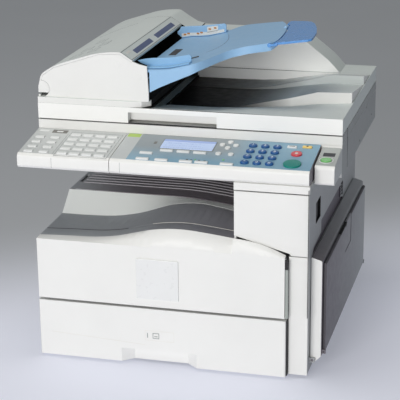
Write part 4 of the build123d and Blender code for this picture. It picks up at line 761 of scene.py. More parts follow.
class Bench:
    """Modelling and dressing steps that all the sub-assemblies share."""

    def __init__(self, frame: dict, datum: Datum, shop: PaintShop) -> None:
        """Keeps what all the steps use.

        Args:
            frame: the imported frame.
            datum: the datum corner.
            shop: the paint shop.
        """
        self.frame = frame
        self.datum = datum
        self.shop = shop

    def clear_selection(self) -> None:
        """Leaves object mode with nothing selected."""
        if bpy.context.object and bpy.context.object.mode != "OBJECT":
            bpy.ops.object.mode_set(mode="OBJECT")
        bpy.ops.object.select_all(action="DESELECT")

    def take_up(self, piece: Piece) -> None:
        """Makes one piece the selected and active one.

        Args:
            piece: the piece.
        """
        self.clear_selection()
        piece.select_set(True)
        bpy.context.view_layer.objects.active = piece

    def settle(self, name: str) -> Piece:
        """Names the new primitive and puts its place into its mesh.

        Args:
            name: the piece's name.

        Returns:
            The piece.
        """
        piece = bpy.context.object
        bpy.ops.object.transform_apply(location=True, rotation=True, scale=True)
        piece.name = name
        piece.data.name = name
        return piece

    def block(self, name: str, x: Span, y: Span, z: Span) -> Piece:
        """Adds a box between three pairs of places.

        Args:
            name: the piece's name.
            x: left and right side in millimetres.
            y: front and back.
            z: bottom and top.

        Returns:
            The box.
        """
        self.clear_selection()
        low, high = self.datum.at(x[0], y[0], z[0]), self.datum.at(x[1], y[1], z[1])
        bpy.ops.mesh.primitive_cube_add(size=1.0, location=(low + high) / 2)
        bpy.context.object.scale = high - low
        return self.settle(name)

    def rod(self, name: str, ends: tuple[Vector, Vector], radius: float, sides: int = 32) -> Piece:
        """Adds a round bar between two places.

        Args:
            name: the piece's name.
            ends: the two places in millimetres.
            radius: the bar's radius in millimetres.
            sides: faces round the bar.

        Returns:
            The bar.
        """
        self.clear_selection()
        start, end = self.datum.at(*ends[0]), self.datum.at(*ends[1])
        run = end - start
        turn = run.to_track_quat("Z", "Y").to_euler()
        bpy.ops.mesh.primitive_cylinder_add(
            vertices=sides, radius=radius * MM, depth=run.length, location=(start + end) / 2, rotation=turn
        )
        return self.settle(name)

    def plate(self, name: str, outline: Sequence[Vector], thickness: Vector) -> Piece:
        """Adds a flat outline and extrudes it into a solid.

        Args:
            name: the piece's name.
            outline: places in millimetres, in order round the outline.
            thickness: the extrusion in millimetres.

        Returns:
            The closed piece.
        """
        self.clear_selection()
        bpy.ops.mesh.primitive_circle_add(vertices=len(outline), radius=1.0, fill_type="NGON")
        piece = self.settle(name)
        for vertex, place in zip(piece.data.vertices, outline):
            vertex.co = self.datum.at(*place)
        bpy.ops.object.mode_set(mode="EDIT")
        bpy.ops.mesh.select_all(action="SELECT")
        bpy.ops.mesh.extrude_region_move(TRANSFORM_OT_translate={"value": Vector(thickness) * MM})
        bpy.ops.mesh.select_all(action="SELECT")
        bpy.ops.mesh.normals_make_consistent(inside=False)
        bpy.ops.object.mode_set(mode="OBJECT")
        return piece

    def plate_y(self, name: str, outline: Outline, y: Span) -> Piece:
        """Adds a solid from an outline of (x, z) places carried along y."""
        return self.plate(name, [Vector((x, y[0], z)) for x, z in outline], Vector((0, y[1] - y[0], 0)))

    def plate_x(self, name: str, outline: Outline, x: Span) -> Piece:
        """Adds a solid from an outline of (y, z) places carried along x."""
        return self.plate(name, [Vector((x[0], y, z)) for y, z in outline], Vector((x[1] - x[0], 0, 0)))

    def sheet(
        self, name: str, cells: tuple[int, int], place: Callable[[float, float], Sequence[float]],
        thickness: float,
    ) -> Piece:
        """Adds a grid, lays each of its points on a surface and gives it a wall.

        Args:
            name: the piece's name.
            cells: how many cells the grid has in each direction.
            place: gives the place in millimetres for a share of each direction.
            thickness: the wall in millimetres, built away from the face.

        Returns:
            The closed shell.
        """
        self.clear_selection()
        bpy.ops.mesh.primitive_grid_add(x_subdivisions=cells[0], y_subdivisions=cells[1], size=1.0)
        piece = self.settle(name)
        for vertex in piece.data.vertices:
            vertex.co = self.datum.at(*place(vertex.co.x + 0.5, vertex.co.y + 0.5))
        self.modifier(piece, "SOLIDIFY", thickness=thickness * MM, offset=-1.0, use_even_offset=True)
        return piece

    def copy_of(self, node: str, name: str, flat_angle: float = 0.6) -> Piece:
        """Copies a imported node's mesh, joins its loose triangles and merges flat ones.

        Args:
            node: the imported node.
            name: the new piece's name.
            flat_angle: faces that meet at less than this many degrees are merged.

        Returns:
            The copy, with no parent and no marks of the node.
        """
        self.take_up(self.frame["nodes"][node])
        bpy.ops.object.duplicate()
        piece = bpy.context.object
        piece.parent = None
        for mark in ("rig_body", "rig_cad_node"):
            del piece[mark]
        piece.name = name
        piece.data.name = name
        piece.data.materials.clear()
        if piece.data.has_custom_normals:
            bpy.ops.mesh.customdata_custom_splitnormals_clear()
        bpy.ops.object.mode_set(mode="EDIT")
        bpy.ops.mesh.select_all(action="SELECT")
        bpy.ops.mesh.remove_doubles(threshold=0.00001)
        bpy.ops.mesh.dissolve_limited(angle_limit=math.radians(flat_angle))
        bpy.ops.object.mode_set(mode="OBJECT")
        return piece

    def tiles(
        self, name: str, plane: Plane, outlines: Sequence[Outline], lift: float, depth: float = TILE
    ) -> Piece:
        """Lays thin tiles on a plane and joins them.

        Args:
            name: the piece's name.
            plane: the plane they lie on.
            outlines: one outline of (u, v) places for each tile.
            lift: height of their faces above the plane.
            depth: thickness of the tiles.

        Returns:
            The joined piece.
        """
        made = []
        for number, outline in enumerate(outlines):
            places = [plane.at(u, v, lift - depth) for u, v in outline]
            made.append(self.plate(f"{name}_{number}", places, plane.out * depth))
        return self.join(made, name)

    def lay_marks(
        self, name: str, plane: Plane, outlines: Sequence[Outline], lift: float, body: str,
        shade: Shade, depth: float = TILE, rounding: float = 0.0, nodes: Iterable[str] = (),
    ) -> Piece:
        """Lays thin tiles on a plane and hands them over as one piece.

        Args:
            name: the piece's name.
            plane: the plane they lie on.
            outlines: one outline of (u, v) places for each tile.
            lift: height of their faces above the plane.
            body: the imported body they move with.
            shade: their finish.
            depth: thickness of the tiles.
            rounding: bevel of their edges, or nought for none.
            nodes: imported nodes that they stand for.

        Returns:
            The piece.
        """
        piece = self.tiles(name, plane, outlines, lift, depth)
        if rounding:
            self.bevel_all(piece, rounding)
        return self.hand_over(piece, body, shade, nodes)

    def lettering(
        self, name: str, text: str, plane: Plane, centre: Point2, size: float, lift: float, depth: float = 0.3
    ) -> Piece:
        """Lays digits on a plane as a thin solid.

        Args:
            name: the piece's name.
            text: the digits.
            plane: the plane they lie on.
            centre: their middle on the plane.
            size: height of the type in millimetres.
            lift: height of their face above the plane.
            depth: thickness.

        Returns:
            The solid digits.
        """
        self.clear_selection()
        bpy.ops.object.text_add()
        label = bpy.context.object
        label.data.body = text
        label.data.size = size * MM
        label.data.extrude = depth * MM / 2
        label.data.align_x = "CENTER"
        label.data.align_y = "CENTER"
        bpy.ops.object.convert(target="MESH")
        label = bpy.context.object
        turned = Matrix((plane.across.normalized(), plane.up.normalized(), plane.out)).transposed()
        place = self.datum.at(*plane.at(centre[0], centre[1], lift - depth / 2))
        label.matrix_world = Matrix.Translation(place) @ turned.to_4x4()
        piece = self.settle(name)
        bpy.ops.object.mode_set(mode="EDIT")
        bpy.ops.mesh.select_all(action="SELECT")
        bpy.ops.mesh.remove_doubles(threshold=0.000001)
        bpy.ops.mesh.normals_make_consistent(inside=False)
        bpy.ops.object.mode_set(mode="OBJECT")
        return piece

    def modifier(self, piece: Piece, kind: str, **settings: object) -> None:
        """Adds a modifier and applies it.

        Args:
            piece: the piece to shape.
            kind: the modifier's type name.
            settings: its settings by name.
        """
        self.take_up(piece)
        added = piece.modifiers.new(kind.lower(), kind)
        for key, value in settings.items():
            setattr(added, key, value)
        bpy.ops.object.modifier_apply(modifier=added.name)

    def bevel(
        self, piece: Piece, width: float, segments: int, chosen: EdgeTest, least: float = 28.0
    ) -> None:
        """Rounds the edges that a test picks.

        Args:
            piece: the piece to shape.
            width: the bevel in millimetres.
            segments: steps across the bevel.
            chosen: says yes to an edge by its middle, its direction and its length in millimetres.
            least: smallest turn in degrees between an edge's faces.
        """
        self.take_up(piece)
        bpy.ops.object.mode_set(mode="EDIT")
        bpy.ops.mesh.select_mode(type="EDGE")
        bpy.ops.mesh.select_all(action="DESELECT")
        shape = bmesh.from_edit_mesh(piece.data)
        picked = 0
        for edge in shape.edges:
            if len(edge.link_faces) != 2 or edge.calc_face_angle(0.0) < math.radians(least):
                continue
            run = edge.verts[1].co - edge.verts[0].co
            middle = self.datum.back((edge.verts[0].co + edge.verts[1].co) / 2)
            if chosen(middle, run.normalized(), run.length / MM):
                edge.select = True
                picked += 1
        bmesh.update_edit_mesh(piece.data)
        if picked:
            bpy.ops.mesh.bevel(offset=width * MM, segments=segments, profile=0.5, clamp_overlap=True)
        bpy.ops.object.mode_set(mode="OBJECT")

    def raise_tops(self, piece: Piece, plane: Plane, above: float, lift: float) -> None:
        """Moves the points that stand higher than a mark over a plane further out.

        Args:
            piece: the piece to shape.
            plane: the plane that heights are taken from.
            above: points higher than this are moved, in millimetres.
            lift: how far they move.
        """
        for vertex in piece.data.vertices:
            if (self.datum.back(vertex.co) - plane.origin).dot(plane.out) > above:
                vertex.co += plane.out * lift * MM

    def bevel_all(self, piece: Piece, width: float, segments: int = 2) -> None:
        """Rounds every sharp edge of a piece."""
        self.bevel(piece, width, segments, lambda middle, run, length: True)

    def carve(self, piece: Piece, tool: Piece) -> None:
        """Cuts a tool's volume out of a piece and removes the tool."""
        self.modifier(piece, "BOOLEAN", object=tool, operation="DIFFERENCE", solver="EXACT")
        bpy.data.objects.remove(tool)

    def join(self, pieces: Sequence[Piece], name: str) -> Piece:
        """Joins pieces into one.

        Args:
            pieces: the pieces, of which the first leads.
            name: the joined piece's name.

        Returns:
            The joined piece.
        """
        self.take_up(pieces[0])
        for piece in pieces:
            piece.select_set(True)
        if len(pieces) > 1:
            bpy.ops.object.join()
        joined = bpy.context.object
        joined.name = name
        joined.data.name = name
        return joined

    def smooth(self, piece: Piece, angle: float = 30.0, weighted: bool = True) -> None:
        """Shades smoothly across the flatter edges of a piece.

        Args:
            piece: the piece to shade.
            angle: edges that turn by more than this many degrees stay sharp.
            weighted: whether the larger faces lead, which keeps flat walls flat beside their bevels.
        """
        self.take_up(piece)
        bpy.ops.object.shade_smooth_by_angle(angle=math.radians(angle))
        if weighted:
            self.modifier(piece, "WEIGHTED_NORMAL", weight=60, keep_sharp=True)

    def paint(self, piece: Piece, shade: Shade, chosen: FaceTest | None = None) -> None:
        """Gives a finish to the whole piece, or to the faces that a test picks.

        Args:
            piece: the piece to paint.
            shade: the finish.
            chosen: says yes to a face by its centre in millimetres and its normal.
        """
        materials = piece.data.materials
        material = self.shop.of(shade)
        if chosen is None:
            materials.clear()
            materials.append(material)
            return
        if material.name not in materials:
            materials.append(material)
        slot = materials.find(material.name)
        for face in piece.data.polygons:
            if chosen(self.datum.back(face.center), face.normal):
                face.material_index = slot

    def hand_over(
        self, piece: Piece, body: str, shade: Shade | None = None, nodes: Iterable[str] = ()
    ) -> Piece:
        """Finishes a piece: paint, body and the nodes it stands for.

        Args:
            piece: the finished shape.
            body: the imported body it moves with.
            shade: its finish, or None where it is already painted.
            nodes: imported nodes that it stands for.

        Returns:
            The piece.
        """
        if shade is not None:
            self.paint(piece, shade)
        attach(piece, body)
        if nodes:
            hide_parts(*nodes)
        log.info("piece %s on %s, %d faces", piece.name, body, len(piece.data.polygons))
        return piece

    def finish_copy(
        self, piece: Piece, node: str, body: str, shade: Shade, angle: float = 30.0,
        paints: Paints = (),
    ) -> Piece:
        """Shades, paints and hands over a node's copy.

        Args:
            piece: the copy.
            node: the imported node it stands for.
            body: its body.
            shade: the main finish.
            angle: shading angle in degrees.
            paints: other finishes with the test that picks their faces.

        Returns:
            The copy.
        """
        self.smooth(piece, angle)
        self.paint(piece, shade)
        for other, chosen in paints:
            self.paint(piece, other, chosen)
        return self.hand_over(piece, body, None, [node])

    def soft_copy(
        self, node: str, body: str, shade: Shade, width: float = 0.0, angle: float = 30.0,
        paints: Paints = (), edges: EdgeTest | None = None,
    ) -> Piece:
        """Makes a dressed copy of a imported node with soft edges.

        Args:
            node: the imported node.
            body: its body.
            shade: the main finish.
            width: bevel in millimetres, or nought for none.
            angle: shading angle in degrees.
            paints: other finishes with the test that picks their faces.
            edges: picks the edges to soften, or None for all.

        Returns:
            The dressed copy.
        """
        piece = self.copy_of(node, node + "_skin")
        if width:
            self.bevel(piece, width, 2, edges or (lambda middle, run, length: True))
        return self.finish_copy(piece, node, body, shade, angle, paints)


@dataclass
class Studio:
    """Floor, lights and camera, set as the photograph has them."""

    azimuth: float = 14.85
    elevation: float = 18.5
    roll: float = -0.67
    aim: Place = (234.0, 0.0, 180.0)
    slide: Point2 = (18.1, 49.0)
    distance: float = 2192.2
    lens: float = 129.46
    sensor: float = 36.0
    floor_radius: float = 9.0
    floor_sides: int = 96
    pale: int = 0xCED0DB
    grey: int = 0x96989B
    floor_glow: float = 0.38
    ramp: Span = (-0.64, 0.14)
    tilt: float = 0.3
    air_colour: tuple[float, float, float, float] = (0.9, 0.98, 1.0, 1.0)
    air_strength: float = 0.17
    lamp_colour: Place = (1.0, 0.98, 0.955)
    lamps: Sequence[tuple[str, Place, Place, float, float]] = (
        ("front_lamp", (-0.35, -3.25, 0.95), (0.0, -0.1, 0.2), 1.4, 59.0),
        ("top_lamp", (-0.3, -0.3, 2.5), (0.0, -0.2, 0.3), 1.2, 19.0),
    )

    def build(self, bench: Bench) -> None:
        """Makes the whole studio.

        Args:
            bench: the shared modelling steps.
        """
        back = self.place_camera(bench.datum)
        self.lay_floor(bench, back)
        self.surround()
        self.light()

    def place_camera(self, datum: Datum) -> Vector:
        """Stands the camera at the photograph's angle.

        Args:
            datum: the datum corner.

        Returns:
            Direction from the machine to the camera.
        """
        turn, rise = math.radians(self.azimuth), math.radians(self.elevation)
        back = Vector((math.sin(turn) * math.cos(rise), -math.cos(turn) * math.cos(rise), math.sin(rise)))
        right = Vector((0, 0, 1)).cross(back).normalized()
        up = back.cross(right)
        tilt = Matrix.Rotation(math.radians(self.roll), 3, back)
        right, up = tilt @ right, tilt @ up
        bpy.ops.object.camera_add()
        camera = bpy.context.object
        camera.name = "studio_camera"
        place = datum.at(*self.aim) + (right * self.slide[0] + up * self.slide[1] + back * self.distance) * MM
        turned = Matrix((right, up, back)).transposed().to_4x4()
        camera.matrix_world = Matrix.Translation(place) @ turned
        camera.data.lens = self.lens
        camera.data.sensor_width = self.sensor
        bpy.context.scene.camera = camera
        return back

    def lay_floor(self, bench: Bench, back: Vector) -> None:
        """Lays a wide floor, pale at the front and grey far behind the machine.

        Args:
            bench: the shared modelling steps.
            back: direction from the machine to the camera, which the pale part faces.
        """
        bench.clear_selection()
        bpy.ops.mesh.primitive_circle_add(
            vertices=self.floor_sides, radius=self.floor_radius, fill_type="NGON"
        )
        floor = bench.settle("studio_floor")
        board = NodeBoard("studio_floor")
        split = board.add("ShaderNodeSeparateXYZ", Vector=board.place)
        reach = board.math("MULTIPLY", split.outputs["X"], back.x + self.tilt)
        reach = board.math("ADD", reach, board.math("MULTIPLY", split.outputs["Y"], back.y))
        share = board.add("ShaderNodeMapRange", Value=reach, From_Min=self.ramp[0], From_Max=self.ramp[1])
        share.interpolation_type = "SMOOTHERSTEP"
        tone = board.blended(share.outputs["Result"], linear(self.grey), linear(self.pale))
        board.set(Base_Color=tone, Roughness=board.ranged(board.noise(3.0), 0.75, 0.85))
        board.set(Emission_Color=tone, Emission_Strength=self.floor_glow)
        floor.data.materials.append(board.material)

    def surround(self) -> None:
        """Fills the air with weak light; the camera, gloss and glass see plain grey there."""
        world = bpy.data.worlds.new("studio_world")
        world.use_nodes = True
        bpy.context.scene.world = world
        nodes, links = world.node_tree.nodes, world.node_tree.links
        ambient = nodes["Background"]
        ambient.inputs["Color"].default_value = self.air_colour
        ambient.inputs["Strength"].default_value = self.air_strength
        seen = nodes.new("ShaderNodeBackground")
        seen.inputs["Color"].default_value = linear(self.grey)
        path, mixed = nodes.new("ShaderNodeLightPath"), nodes.new("ShaderNodeMixShader")
        shown = path.outputs["Is Camera Ray"]
        for ray in ("Is Glossy Ray", "Is Transmission Ray"):
            either = nodes.new("ShaderNodeMath")
            either.operation = "MAXIMUM"
            links.new(shown, either.inputs[0])
            links.new(path.outputs[ray], either.inputs[1])
            shown = either.outputs[0]
        links.new(shown, mixed.inputs[0])
        links.new(ambient.outputs[0], mixed.inputs[1])
        links.new(seen.outputs[0], mixed.inputs[2])
        links.new(mixed.outputs[0], nodes["World Output"].inputs["Surface"])

    def light(self) -> None:
        """Hangs two soft lamps: a wide one low in front and a weaker one overhead."""
        for name, place, target, size, power in self.lamps:
            bpy.ops.object.light_add(type="AREA", location=place)
            lamp = bpy.context.object
            lamp.name = name
            lamp.data.size = size
            lamp.data.energy = power
            lamp.data.color = self.lamp_colour
            lamp.rotation_euler = (Vector(target) - Vector(place)).to_track_quat("-Z", "Y").to_euler()


@dataclass
class LowerFront:
    """Swing-down front cover with its bare plate, the paper drawer's front and the post beside them."""

    face: Plane = Plane(Vector((0, -104, 0)), Vector((1, 0, 0)), Vector((0, 0, 1)))
    crown_y: Span = (-88.6, -55.0)
    digit_place: Point2 = (197.5, 49.6)
    digit_size: float = 11.0
    icon: tuple[Span, Span] = ((205.5, 215.5), (45.5, 54.5))
    label: tuple[Span, Span] = ((193.5, 238.5), (42.0, 58.0))
    level_line: tuple[Point2, Point2] = ((46.0, 42.0), (193.0, 34.5))
    slot: Box = ((405.5, 410.0), (-104.15, -101.0), (173.0, 187.5))
    lip: Box = ((405.9, 409.8), (-103.9, -99.0), (97.0, 172.6))
    gap: Box = ((407.5, 408.8), (-101.0, -92.0), (5.0, 92.0))

    def build(self, bench: Bench) -> None:
        """Makes the covers and their marks.

        Args:
            bench: the shared modelling steps.
        """
        # the cover's flat top is painted grey as painted shade
        crown = ((Shade.BAND, self.is_crown),)
        bench.soft_copy(
            "front_cover", "front_cover", Shade.IVORY, 1.0, 35, crown, self.skin_edge
        )
        bench.soft_copy("badge_plate", "front_cover", Shade.BADGE, 0.6, 30)
        for node, body, width, edges in (
            ("cassette_front", "paper_drawer", 1.2, self.skin_edge),
            ("post_cover", "base", 1.0, self.skin_edge),
            ("column_cover", "base", 1.0, self.skin_edge),
            ("left_cover", "base", 0.8, longer_than(40)),
        ):
            bench.soft_copy(node, body, Shade.IVORY, width, 30, edges=edges)
        self.drawer_marks(bench)
        self.gaps(bench)

    def is_crown(self, place: Vector, normal: Vector) -> bool:
        """Faces of the cover's flat top, which get painted shade."""
        return normal.z > 0.9 and self.crown_y[0] < place.y < self.crown_y[1]

    def skin_edge(self, middle: Vector, run: Vector, length: float) -> bool:
        """Picks the long edges of the front faces."""
        return length > 12 and middle.y < -92

    def drawer_marks(self, bench: Bench) -> None:
        """Adds the tray's digit, its sheet symbol, the frame round them and the level line.

        Args:
            bench: the shared modelling steps.
        """
        (u0, u1), (v0, v1) = self.icon
        symbol = frame_bars((u0, u1), (v0, v1), 0.9) + [bar((u0 + 2.4, u1 - 2.4), (v0 + 3.0, v0 + 4.0))]
        digit = bench.lettering("tray_digit", "1", self.face, self.digit_place, self.digit_size, 0.25)
        sign = bench.tiles("tray_symbol", self.face, symbol, 0.25)
        mark = bench.join([digit, sign], "tray_mark")
        bench.hand_over(mark, "paper_drawer", Shade.PRINT_GREY)
        (x0, z0), (x1, z1) = self.level_line
        line = [(x0, z0 - 0.3), (x1, z1 - 0.3), (x1, z1 + 0.3), (x0, z0 + 0.3)]
        relief = frame_bars(*self.label, 0.5) + [line]
        bench.lay_marks(
            "tray_relief", self.face, relief, 0.2, "paper_drawer", Shade.PRINT_WHITE
        )

    def gaps(self, bench: Bench) -> None:
        """Adds the latch slot at the cover's right end, the post's lip and the gap beside the drawer, all as
        painted shade: black blocks in the slot and the gap, a grey lip.

        Args:
            bench: the shared modelling steps.
        """
        # black blocks in the latch slot and the gap beside the drawer, and the grey lip beside the post, are
        # painted shade
        slot = bench.block("latch_slot", *self.slot)
        bench.bevel_all(slot, 0.4)
        lip = bench.block("post_lip", *self.lip)
        bench.bevel_all(lip, 0.3)
        bench.hand_over(lip, "base", Shade.LIP)
        gap = bench.block("drawer_gap", *self.gap)
        bench.hand_over(bench.join([slot, gap], "front_gaps"), "base", Shade.BLACK)


@dataclass
class OutputTray:
    """Open tray: a dark low band, a pale ramp and a dark ribbed ledge with lighter ribs; band and ledge carry
    painted shade darker to the right, and the ribs are a painted highlight.
    """

    ramp_y: Span = (10.0, 46.0)
    side_x: Span = (28.3, 327.2)
    ledge_x: float = 38.4
    ledge_back: float = 231.0
    ledge_lift: float = 1.6
    ledge_top: float = 219.5
    ledge_fall: float = 13.0
    fall_from: float = 205.0
    fall_run: float = 122.5
    rib_x: float = 41.0
    first_rib: float = 80.0
    rib_pitch: float = 12.6
    rib_width: float = 2.2
    rib_height: float = 0.9
    rim_y: Span = (-59.2, -58.2)
    band_line: Outline = (
        (28.0, 192.0), (73.0, 192.2), (115.0, 194.2), (146.0, 199.6), (169.0, 206.0), (186.0, 212.2),
        (209.0, 219.6), (233.0, 223.2), (256.0, 224.0), (290.0, 219.0), (328.0, 212.5),
    )
    rim_line: Outline = (
        (28.0, 191.2), (73.0, 193.0), (115.0, 194.4), (146.0, 198.2), (169.0, 203.6), (186.0, 208.2),
        (209.0, 213.2), (233.0, 215.8), (256.0, 216.0), (290.0, 213.0), (328.0, 208.6),
    )

    def build(self, bench: Bench) -> None:
        """Dresses the tray by place and lays the ramp, the ledge and the ribs over it.

        Args:
            bench: the shared modelling steps.
        """
        # the band and the left margin get the band's painted shade, the rest the ledge's painted shade
        paints = ((Shade.BAND, self.is_band), (Shade.TRAY, self.is_ramp), (Shade.BAND, self.is_margin))
        piece = bench.copy_of("output_tray", "output_tray_skin", 0.02)
        bench.smooth(piece, 35, weighted=False)
        bench.paint(piece, Shade.GRAPHITE)
        for shade, chosen in paints:
            bench.paint(piece, shade, chosen)
        bench.hand_over(piece, "base", None, ["output_tray"])
        ramp = bench.sheet("tray_ramp", (72, 4), self.on_ramp, 0.25)
        bench.smooth(ramp, 40, weighted=False)
        bench.hand_over(ramp, "base", Shade.TRAY)
        self.ledge(bench)
        self.rim_lines(bench)

    def ledge(self, bench: Bench) -> None:
        """Lays the dark ledge with its painted shade, and its pale ribs as a painted highlight.

        Args:
            bench: the shared modelling steps.
        """
        depth = (self.ramp_y[1] + 0.2, self.ledge_back)
        place = self.strip((self.ledge_x, self.side_x[1]), depth, self.ledge_height, self.ledge_lift)
        floor = bench.sheet("tray_ledge", (48, 2), place, 1.2)
        bench.smooth(floor, 40, weighted=False)
        bench.hand_over(floor, "base", Shade.GRAPHITE)
        ribs = []
        reach = (self.rib_x, self.side_x[1])
        for number in range(int((self.ledge_back - self.first_rib) / self.rib_pitch)):
            front = self.first_rib + number * self.rib_pitch
            depth = (front, front + self.rib_width)
            place = self.strip(reach, depth, self.ledge_height, self.ledge_lift + self.rib_height)
            ribs.append(bench.sheet(f"tray_rib_{number}", (48, 1), place, 1.0))
        joined = bench.join(ribs, "tray_ribs")
        bench.smooth(joined, 40, weighted=False)
        # ribs painted lighter than the ledge: painted highlight
        bench.hand_over(joined, "base", Shade.RIB)

    def rim_lines(self, bench: Bench) -> None:
        """Adds the seam between tray and cover: a dark joint line at the left, and a painted highlight along
        the edge at the right.

        Args:
            bench: the shared modelling steps.
        """
        rim = self.wave(self.rim_line)
        for name, reach, shade in (
            ("dark", (28.6, 158.0), Shade.EDGE), ("bright", (196.0, 326.0), Shade.PRINT_WHITE),
        ):
            line = bench.sheet(f"rim_line_{name}", (40, 1), self.strip(reach, self.rim_y, rim, 0.35), 0.5)
            bench.hand_over(line, "base", shade)

    def wave(self, points: Outline) -> Callable[[float], float]:
        """Height along x on a smooth curve."""
        return lambda x: curve_height(points, x)

    def ledge_height(self, x: float) -> float:
        """Height of the ledge, level at the left and falling to the paper exit."""
        return self.ledge_top - self.ledge_fall * max(0.0, (x - self.fall_from) / self.fall_run) ** 1.6

    def strip(
        self, x: Span, y: Span, height: Callable[[float], float], lift: float
    ) -> Callable[[float, float], Sequence[float]]:
        """Places on a strip that follows a height along x.

        Args:
            x: left and right end.
            y: front and back edge.
            height: height at a place on x.
            lift: distance above that height.

        Returns:
            A function that gives the place for a share of each direction.
        """
        def place(across: float, back: float) -> Sequence[float]:
            """Place for a share of the strip's length and depth."""
            spot = x[0] + (x[1] - x[0]) * across
            return spot, y[0] + (y[1] - y[0]) * back, height(spot) + lift
        return place

    def on_ramp(self, across: float, back: float) -> Sequence[float]:
        """Place on the ramp.

        Args:
            across: share of its length.
            back: share of its depth.

        Returns:
            The place in millimetres.
        """
        x = self.side_x[0] + (self.side_x[1] - self.side_x[0]) * across
        y = self.ramp_y[0] + (self.ramp_y[1] - self.ramp_y[0]) * back
        low, high = curve_height(self.band_line, x), self.ledge_height(x)
        return x, y, low + (high - low) * back + 0.4

    def is_band(self, place: Vector, normal: Vector) -> bool:
        """Faces of the low band in front of the ramp."""
        return place.y < self.ramp_y[0]

    def is_ramp(self, place: Vector, normal: Vector) -> bool:
        """Faces of the pale ramp."""
        return self.ramp_y[0] < place.y < self.ramp_y[1] and normal.z > 0.3

    def is_margin(self, place: Vector, normal: Vector) -> bool:
        """Faces of the strip along the left side."""
        return place.x < self.ledge_x and place.y > self.ramp_y[1] and normal.z > 0.3


@dataclass
class Scanner:
    """Scanner housing and its top frame, with their screw recesses and side seam."""

    screw_places: Outline = ((171.0, 291.5), (242.0, 326.5), (300.0, 300.0))
    screw_radius: float = 1.7
    bore_x: Span = (466.6, 470.0)
    seam_x: Span = (466.9, 470.0)
    seam: Outline = ((50.6, 284.0), (52.0, 284.0), (49.0, 346.0), (45.6, 346.0))

    def build(self, bench: Bench) -> None:
        """Makes the housing and the frame.

        Args:
            bench: the shared modelling steps.
        """
        housing = bench.copy_of("scanner_housing", "scanner_housing_skin")
        bench.bevel(housing, 1.2, 2, longer_than(40))
        for number, (y, z) in enumerate(self.screw_places):
            ends = tuple(Vector((x, y, z)) for x in self.bore_x)
            bench.carve(housing, bench.rod(f"screw_bore_{number}", ends, self.screw_radius, 20))
        bench.carve(housing, bench.plate_x("side_seam", self.seam, self.seam_x))
        # the housing's right side is painted grey as painted shade; screw recesses and seam are black
        paints = ((Shade.HOUSING, lambda place, normal: normal.x > 0.6), (Shade.BLACK, self.in_screw))
        bench.finish_copy(housing, "scanner_housing", "base", Shade.IVORY, 30, paints)
        bezel = bench.copy_of("scanner_bezel", "scanner_bezel_skin")
        bench.bevel(bezel, 0.8, 2, longer_than(30))
        bench.carve(bezel, bench.plate_x("bezel_seam", self.seam, self.seam_x))
        bench.finish_copy(bezel, "scanner_bezel", "base", Shade.IVORY, 30, paints)

    def in_screw(self, place: Vector, normal: Vector) -> bool:
        """Whether a face lies inside a screw recess or the seam.

        Args:
            place: the face's centre.
            normal: its normal.

        Returns:
            True for such a face.
        """
        reach = self.screw_radius + 0.1
        near = any(math.hypot(place.y - y, place.z - z) < reach for y, z in self.screw_places)
        in_seam = 45 < place.y < 52.5 and 466.5 < place.x < 467.99 and place.z > 283.9
        return (near and place.x > 466) or in_seam


